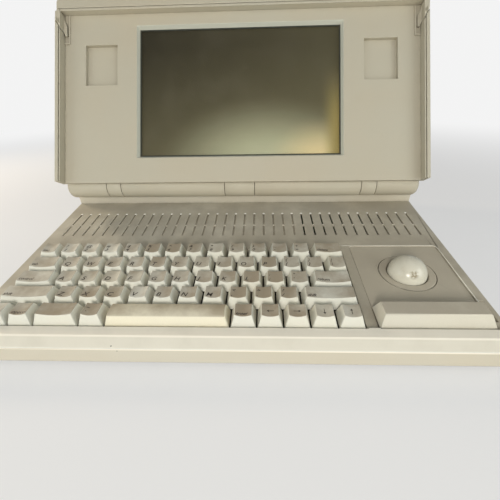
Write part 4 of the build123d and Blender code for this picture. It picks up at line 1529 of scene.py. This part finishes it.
@dataclass
class DeckDetails:
    """Vent floors and scooped vent ends, the lip round the trackball bay and the front seam; the
    scoops, the lip and the seam bead are pale as painted highlights.
    """

    finishes: Finishes
    vents: int = 36
    vent_pitch: float = 10.28
    vent_width: float = 1.66
    vent_runs: tuple[tuple[float, float], ...] = ((121.1, 140.07), (141.87, 164.6))
    vent_floor: float = -1.4
    vent_hole: float = 1.7
    open_from: float = 58.0
    scoop_radius: float = 1.3
    bay_left: float = 97.7
    bay_right: float = 185.4
    bay_rear: float = 101.5
    bay_front: float = 26.0
    bay_corner: float = 4.0
    lip_width: float = 0.7
    lip_height: float = 0.28
    seam_half: float = 186.4
    seam_at: tuple[float, float] = (-175.55, 19.92)
    seam_radius: float = 0.46
    specks_at: tuple[tuple[float, float, float, float], ...] = (
        (-77.8, -14.7, -1.0, 0.42), (-73.8, -16.35, -4.0, 0.36),
    )

    def build_vents(self) -> None:
        """Floors of the vent slots and the pale scoops at their rear ends, whose near-white colour
        is a painted highlight.
        """
        floors = bmesh.new()
        scoops = bmesh.new()
        first = -(self.vents - 1) / 2 * self.vent_pitch
        for index in range(self.vents):
            x = first + index * self.vent_pitch
            for run, (start, end) in enumerate(self.vent_runs):
                start += self.vent_hole if run == 0 else 0.0
                if x < self.open_from:
                    soft_slab(floors, (self.vent_width, end - start, 0.6),
                              (x, (start + end) / 2, self.vent_floor - 0.6), 0.3, 0.12)
            # Pale scoops at each slot's rear end: painted highlights
            r = self.scoop_radius
            lathe(scoops, ((r, -0.15), (r, 0.02), (r * 0.8, 0.2), (r * 0.45, 0.32),
                           (r * 0.1, 0.36)), (x, self.vent_runs[-1][1] + 0.2, 0.0), "Z", 16)
        new_piece("vent_floors", floors, Place.DECK, "base", self.finishes.tray)
        new_piece("vent_scoop_highlights", scoops, Place.DECK, "base", self.finishes.pale)

    def build_bay_lip(self) -> None:
        """Rounded lip along the rear and right edges of the trackball bay, pale as a painted
        highlight.
        """
        path = [(self.bay_left, self.bay_rear)]
        centre_x, centre_y = self.bay_right - self.bay_corner, self.bay_rear - self.bay_corner
        for step in range(9):
            turn = pi / 2 - step / 8 * pi / 2
            path.append((centre_x + self.bay_corner * cos(turn),
                         centre_y + self.bay_corner * sin(turn)))
        path.append((self.bay_right, self.bay_front))
        mesh_data = bmesh.new()
        rings = []
        for index, (x, y) in enumerate(path):
            before, after = path[max(index - 1, 0)], path[min(index + 1, len(path) - 1)]
            along = Vector((after[0] - before[0], after[1] - before[1])).normalized()
            out = Vector((-along.y, along.x))
            ring = []
            for step in range(7):
                turn = pi * step / 6
                off = self.lip_width / 2 * (1 - cos(turn))
                ring.append(mesh_data.verts.new((x + out.x * off, y + out.y * off,
                                                 self.lip_height * sin(turn))))
            rings.append(ring)
        skin(mesh_data, rings)
        new_piece("bay_lip_highlight", mesh_data, Place.DECK, "base", self.finishes.lip)

    def build_seam(self) -> None:
        """Tight pale bead that closes the seam across the front, a painted highlight line."""
        bead = bmesh.new()
        r, half = self.seam_radius, self.seam_half
        lathe(bead, ((r * 0.6, -half), (r, 0.4 - half), (r, half - 0.4), (r * 0.6, half)),
              (0.0, *self.seam_at), "X", 16)
        new_piece("front_seam_highlight_bead", bead, Place.TABLE, "base", self.finishes.lip)

    def build_specks(self) -> None:
        """Two specks of old grime stuck to the front."""
        mesh_data = bmesh.new()
        for x, y, z, r in self.specks_at:
            lathe(mesh_data, ((0.1 * r, -0.9 * r), (0.7 * r, -0.6 * r), (r, 0.0),
                              (0.7 * r, 0.5 * r), (0.1 * r, 0.7 * r)), (x, y, z), "Z", 10)
        new_piece("front_specks", mesh_data, Place.DECK, "base", self.finishes.ink)

    def build(self) -> None:
        """Builds the deck's fine pieces."""
        self.build_vents()
        self.build_bay_lip()
        self.build_seam()
        self.build_specks()
        LOG.info("built the vent floors, the bay lip, the seam bead and the specks")


# Rear sockets, underside and grip


@dataclass
class RearSockets:
    """Pins and jack screws of the sockets in the rear panel."""

    finishes: Finishes
    right: float = 172.0
    middle: float = 23.0
    floor_y: float = 172.8
    panel_y: float = 173.4
    pin_reach: float = 1.6
    pin_pitch: float = 2.35
    pin_row: float = 1.3
    circle: float = 3.0
    screw_off: float = 3.4
    flat_sockets: tuple[tuple[float, float, int], ...] = (
        (32.0, 12.5, 8), (77.0, 20.0, 13), (127.0, 16.5, 10),
    )
    round_sockets: tuple[float, ...] = (158.0, 174.0)

    def pin(self, mesh_data: bmesh.types.BMesh, off: float, rise: float, radius: float) -> None:
        """Adds one round-nosed contact pin.

        Args:
            mesh_data: The mesh to add to.
            off: Distance from the panel's right end.
            rise: Height over the sockets' middle.
            radius: Radius of the pin.
        """
        reach = self.pin_reach
        lathe(mesh_data, ((radius, -0.3), (radius, reach - radius),
                          (radius * 0.7, reach - 0.3 * radius), (radius * 0.2, reach)),
              (self.right - off, self.floor_y, self.middle + rise), "Y", 10)

    def build(self) -> None:
        """Builds the pins and the jack screws."""
        pins = bmesh.new()
        screws = bmesh.new()
        for off, half, columns in self.flat_sockets:
            for row, count in enumerate((columns, columns - 1)):
                for column in range(count):
                    shift = (column - (count - 1) / 2) * self.pin_pitch
                    self.pin(pins, off + shift, self.pin_row * (1 - 2 * row), 0.42)
            for side in (-1, 1):
                lathe(screws, ((2.0, -0.2), (2.0, 1.4), (1.6, 1.8), (0.8, 1.8), (0.8, 0.7)),
                      (self.right - off + side * (half + self.screw_off), self.panel_y,
                       self.middle), "Y", 6)
        for off in self.round_sockets:
            for step in range(5):
                turn = pi * step / 4
                self.pin(pins, off + self.circle * cos(turn), self.circle * sin(turn) - 0.6, 0.45)
        new_piece("socket_pins", pins, Place.TABLE, "base", self.finishes.brass)
        new_piece("socket_jack_screws", screws, Place.TABLE, "base", self.finishes.steel)
        LOG.info("built the socket pins and jack screws")


@dataclass
class Underside:
    """Screws and foot rims under the case."""

    finishes: Finishes
    floor: float = 3.0
    head: float = 3.4
    screws_at: tuple[tuple[float, float], ...] = (
        (-150.0, -120.0), (0.0, -135.0), (150.0, -120.0),
        (-150.0, 130.0), (0.0, 150.0), (150.0, 130.0), (-60.0, 10.0), (90.0, 10.0),
    )
    feet_at: tuple[tuple[float, float], ...] = (
        (-163.5, -152.0), (163.5, -152.0), (-163.5, 152.0), (163.5, 152.0),
    )

    def build(self) -> None:
        """Builds the screws, their collars and the rims of the feet."""
        heads = bmesh.new()
        collars = bmesh.new()
        for x, y in self.screws_at:
            r = self.head
            lathe(heads, ((r, 0.1), (r, -0.5), (r - 0.5, -1.0), (1.7, -1.2), (1.5, -0.5)),
                  (x, y, self.floor), "Z", 24)
            lathe(collars, ((r + 2.4, 0.2), (r + 2.4, -0.3), (r + 2.0, -0.6), (r + 0.6, -0.6),
                            (r + 0.3, -0.2)), (x, y, self.floor), "Z", 32)
        for x, y in self.feet_at:
            lathe(collars, ((11.4, 0.2), (11.4, -0.5), (11.0, -0.9), (9.7, -0.9), (9.4, -0.4)),
                  (x, y, self.floor), "Z", 40)
        new_piece("underside_screws", heads, Place.TABLE, "base", self.finishes.steel)
        new_piece("underside_collars", collars, Place.TABLE, "base", self.finishes.base)
        LOG.info("built the underside's screws and collars")


@dataclass
class BatteryDoorGrip:
    """Moulded ridges that a thumb pushes to slide the battery door."""

    finishes: Finishes
    middle_x: float = -121.0
    start_y: float = 76.0
    pitch: float = 4.2
    ridges: int = 7
    width: float = 46.0
    slope_start: tuple[float, float] = (41.1654, 96.0388)
    slope_end: tuple[float, float] = (176.0158, 103.0)

    def height(self, y: float) -> float:
        """Height of the sloping top over the table."""
        (y0, z0), (y1, z1) = self.slope_start, self.slope_end
        return z0 + (z1 - z0) * (y - y0) / (y1 - y0)

    def build(self) -> None:
        """Builds the ridges."""
        mesh_data = bmesh.new()
        for index in range(self.ridges):
            y = self.start_y + index * self.pitch
            soft_slab(mesh_data, (self.width, 1.8, 0.9),
                      (self.middle_x, y, self.height(y) - 0.15), 0.85, 0.5)
        new_piece("battery_door_ridges", mesh_data, Place.TABLE, "battery_door",
                  self.finishes.base)
        LOG.info("built the battery door's ridges")


# Carried-over CAD pieces


@dataclass
class CarriedPieces:
    """Finishes and rounded edges of the pieces whose CAD shape stays."""

    finishes: Finishes

    def dress(self) -> None:
        """Gives each remaining CAD node its finish and its rounded edges."""
        f = self.finishes
        plan: list[tuple[Iterable[str], bpy.types.Material, float]] = [
            (("lower_case", "rear_cover", "battery_door"), f.base, 0.45),
            (("hinge_knuckles", "lid_barrels"), f.lid, 0.45),
            (("hinge_centre",), f.lid, 0.2),
            (("lid_shell", "bezel_rims", "handle"), f.lid, 0.4),
            (("latch_left", "latch_right"), f.lid, 0.25),
            (("trackball_housing",), f.tray, 0.35),
            (("trackball_ring",), f.tray, 0.55),
            (("click_bar",), f.bar, 0.3),
            (("reset_button", "interrupt_button"), f.tray, 0.3),
            (("rubber_feet",), f.rubber, 0.6),
            (("socket_panel",), f.dark, 0.25),
            (("trackball",), f.ball, 0.0),
            (("screen_window",), f.window, 0.0),
            (("screen_panel",), f.film, 0.0),
            (("keyboard_plate",), f.black_steel, 0.2),
            (("key_switches",), f.dark, 0.0),
            (("logic_board", "display_board"), f.board, 0.0),
            (("drive_bracket", "hard_disk", "floppy_drive", "power_unit"), f.cast, 0.3),
            (("battery_pack", "backup_battery", "speaker"), f.dark, 0.4),
            (("hinge_pins", "roller_across", "roller_lengthwise"), f.steel, 0.0),
        ]
        for names, material, width in plan:
            for name in names:
                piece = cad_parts[name]
                piece.data.materials.clear()
                piece.data.materials.append(material)
                if width:
                    round_edges(piece, width)
        sound_copy("deck_cover", "base", f.deck, 0.5, False)
        sound_copy("display_bezel", "lid", f.lid, 0.45, True)
        LOG.info("dressed the carried-over pieces")


# Studio


@dataclass
class Studio:
    """Pale floor, soft lamps and the camera at the photograph's place."""

    finishes: Finishes
    eye: Point = (0.0250, -0.3360, 0.17865)
    focal: float = 23.425
    tilt: float = 35.606
    yaw: float = -2.304
    roll: float = -0.085
    lamps: tuple[tuple[str, Point, Point, float, float, Colour], ...] = (
        ("front_lamp", (-0.14, -1.1, 0.40), (0.0, 0.0, 0.08), 0.3, 6.3, (1.0, 0.965, 0.90)),
        ("right_lamp", (0.90, -0.62, 0.40), (0.0, -0.05, 0.06), 0.7, 4.4, (0.94, 1.0, 0.97)),
        ("cool_lamp", (-0.95, -0.50, 0.38), (0.05, -0.08, 0.05), 0.6, 2.1, (0.92, 1.0, 0.97)),
        ("left_lamp", (-0.85, 0.42, 0.45), (-0.15, -0.1, 0.05), 0.2, 3.6, (1.0, 0.83, 0.6)),
        ("rear_lamp", (0.6, 1.8, 1.0), (0.0, 0.0, 0.1), 1.2, 2.8, (0.96, 0.98, 1.0)),
    )

    def build_floor(self) -> None:
        """Large plain floor."""
        mesh_data = bmesh.new()
        bmesh.ops.create_grid(mesh_data, x_segments=24, y_segments=24, size=6.0)
        put_mesh("floor", mesh_data, self.finishes.floor)

    def build_world(self) -> None:
        """Even surroundings, pale to the camera and through clear pieces."""
        world = bpy.data.worlds.new("studio")
        bpy.context.scene.world = world
        world.use_nodes = True
        world.node_tree.nodes.clear()
        n = Nodes(world.node_tree)
        path = n.add("ShaderNodeLightPath").outputs
        seen = n.maths("MAXIMUM", path["Is Camera Ray"], path["Is Transmission Ray"])
        lit = n.add("ShaderNodeBackground", None, (0.97, 0.98, 1.0), 0.17)
        pale = n.add("ShaderNodeBackground", None, (0.9, 0.9, 0.9), 1.0)
        mixed = n.add("ShaderNodeMixShader", None, seen, lit.outputs[0], pale.outputs[0])
        n.add("ShaderNodeOutputWorld", None, Surface=mixed.outputs[0])

    def lamp(self, name: str, at: Point, target: Point, size: float, power: float,
             colour: Colour) -> None:
        """Adds one soft square lamp.

        Args:
            name: The lamp's name.
            at: Where it stands.
            target: What it points at.
            size: Side length in metres.
            power: Power in watts.
            colour: Its colour.
        """
        data = bpy.data.lights.new(name, "AREA")
        data.size = size
        data.energy = power
        data.color = colour
        lamp = put(name, data)
        lamp.location = at
        lamp.rotation_mode = "QUATERNION"
        lamp.rotation_quaternion = (Vector(target) - Vector(at)).to_track_quat("-Z", "Y")
        lamp.visible_camera = False

    def build_camera(self) -> None:
        """Camera that stands where the photograph was taken from."""
        rx, ry, rz = radians(self.tilt), radians(self.yaw), radians(self.roll)
        first = Matrix(((1, 0, 0), (0, -sin(rx), -cos(rx)), (0, cos(rx), -sin(rx))))
        second = Matrix(((cos(ry), 0, -sin(ry)), (0, 1, 0), (sin(ry), 0, cos(ry))))
        third = Matrix(((cos(rz), -sin(rz), 0), (sin(rz), cos(rz), 0), (0, 0, 1)))
        rows = third @ second @ first
        deck = Matrix.Rotation(radians(DECK_SLOPE), 3, "X")
        right, down, ahead = (deck @ rows[i] for i in range(3))
        turn = Matrix((right, -down, -ahead)).transposed()
        data = bpy.data.cameras.new("camera")
        data.sensor_width = 36.0
        data.lens = self.focal
        data.clip_start = 0.02
        camera = put("camera", data)
        camera.matrix_world = Matrix.Translation(self.eye) @ turn.to_4x4()
        bpy.context.scene.camera = camera

    def build(self) -> None:
        """Builds the floor, the surroundings, the lamps and the camera."""
        self.build_floor()
        self.build_world()
        for entry in self.lamps:
            self.lamp(*entry)
        self.build_camera()
        bpy.context.scene.view_settings.view_transform = "Standard"
        LOG.info("built the studio")


def main() -> None:
    """Builds every sub-assembly in order."""
    logging.basicConfig(level=logging.INFO, format="%(message)s")
    finishes = Finishes()
    CarriedPieces(finishes).dress()
    Keyboard(finishes).build()
    Display(finishes).build()
    DeckDetails(finishes).build()
    RearSockets(finishes).build()
    Underside(finishes).build()
    BatteryDoorGrip(finishes).build()
    Studio(finishes).build()


if __name__ == "__main__":
    main()
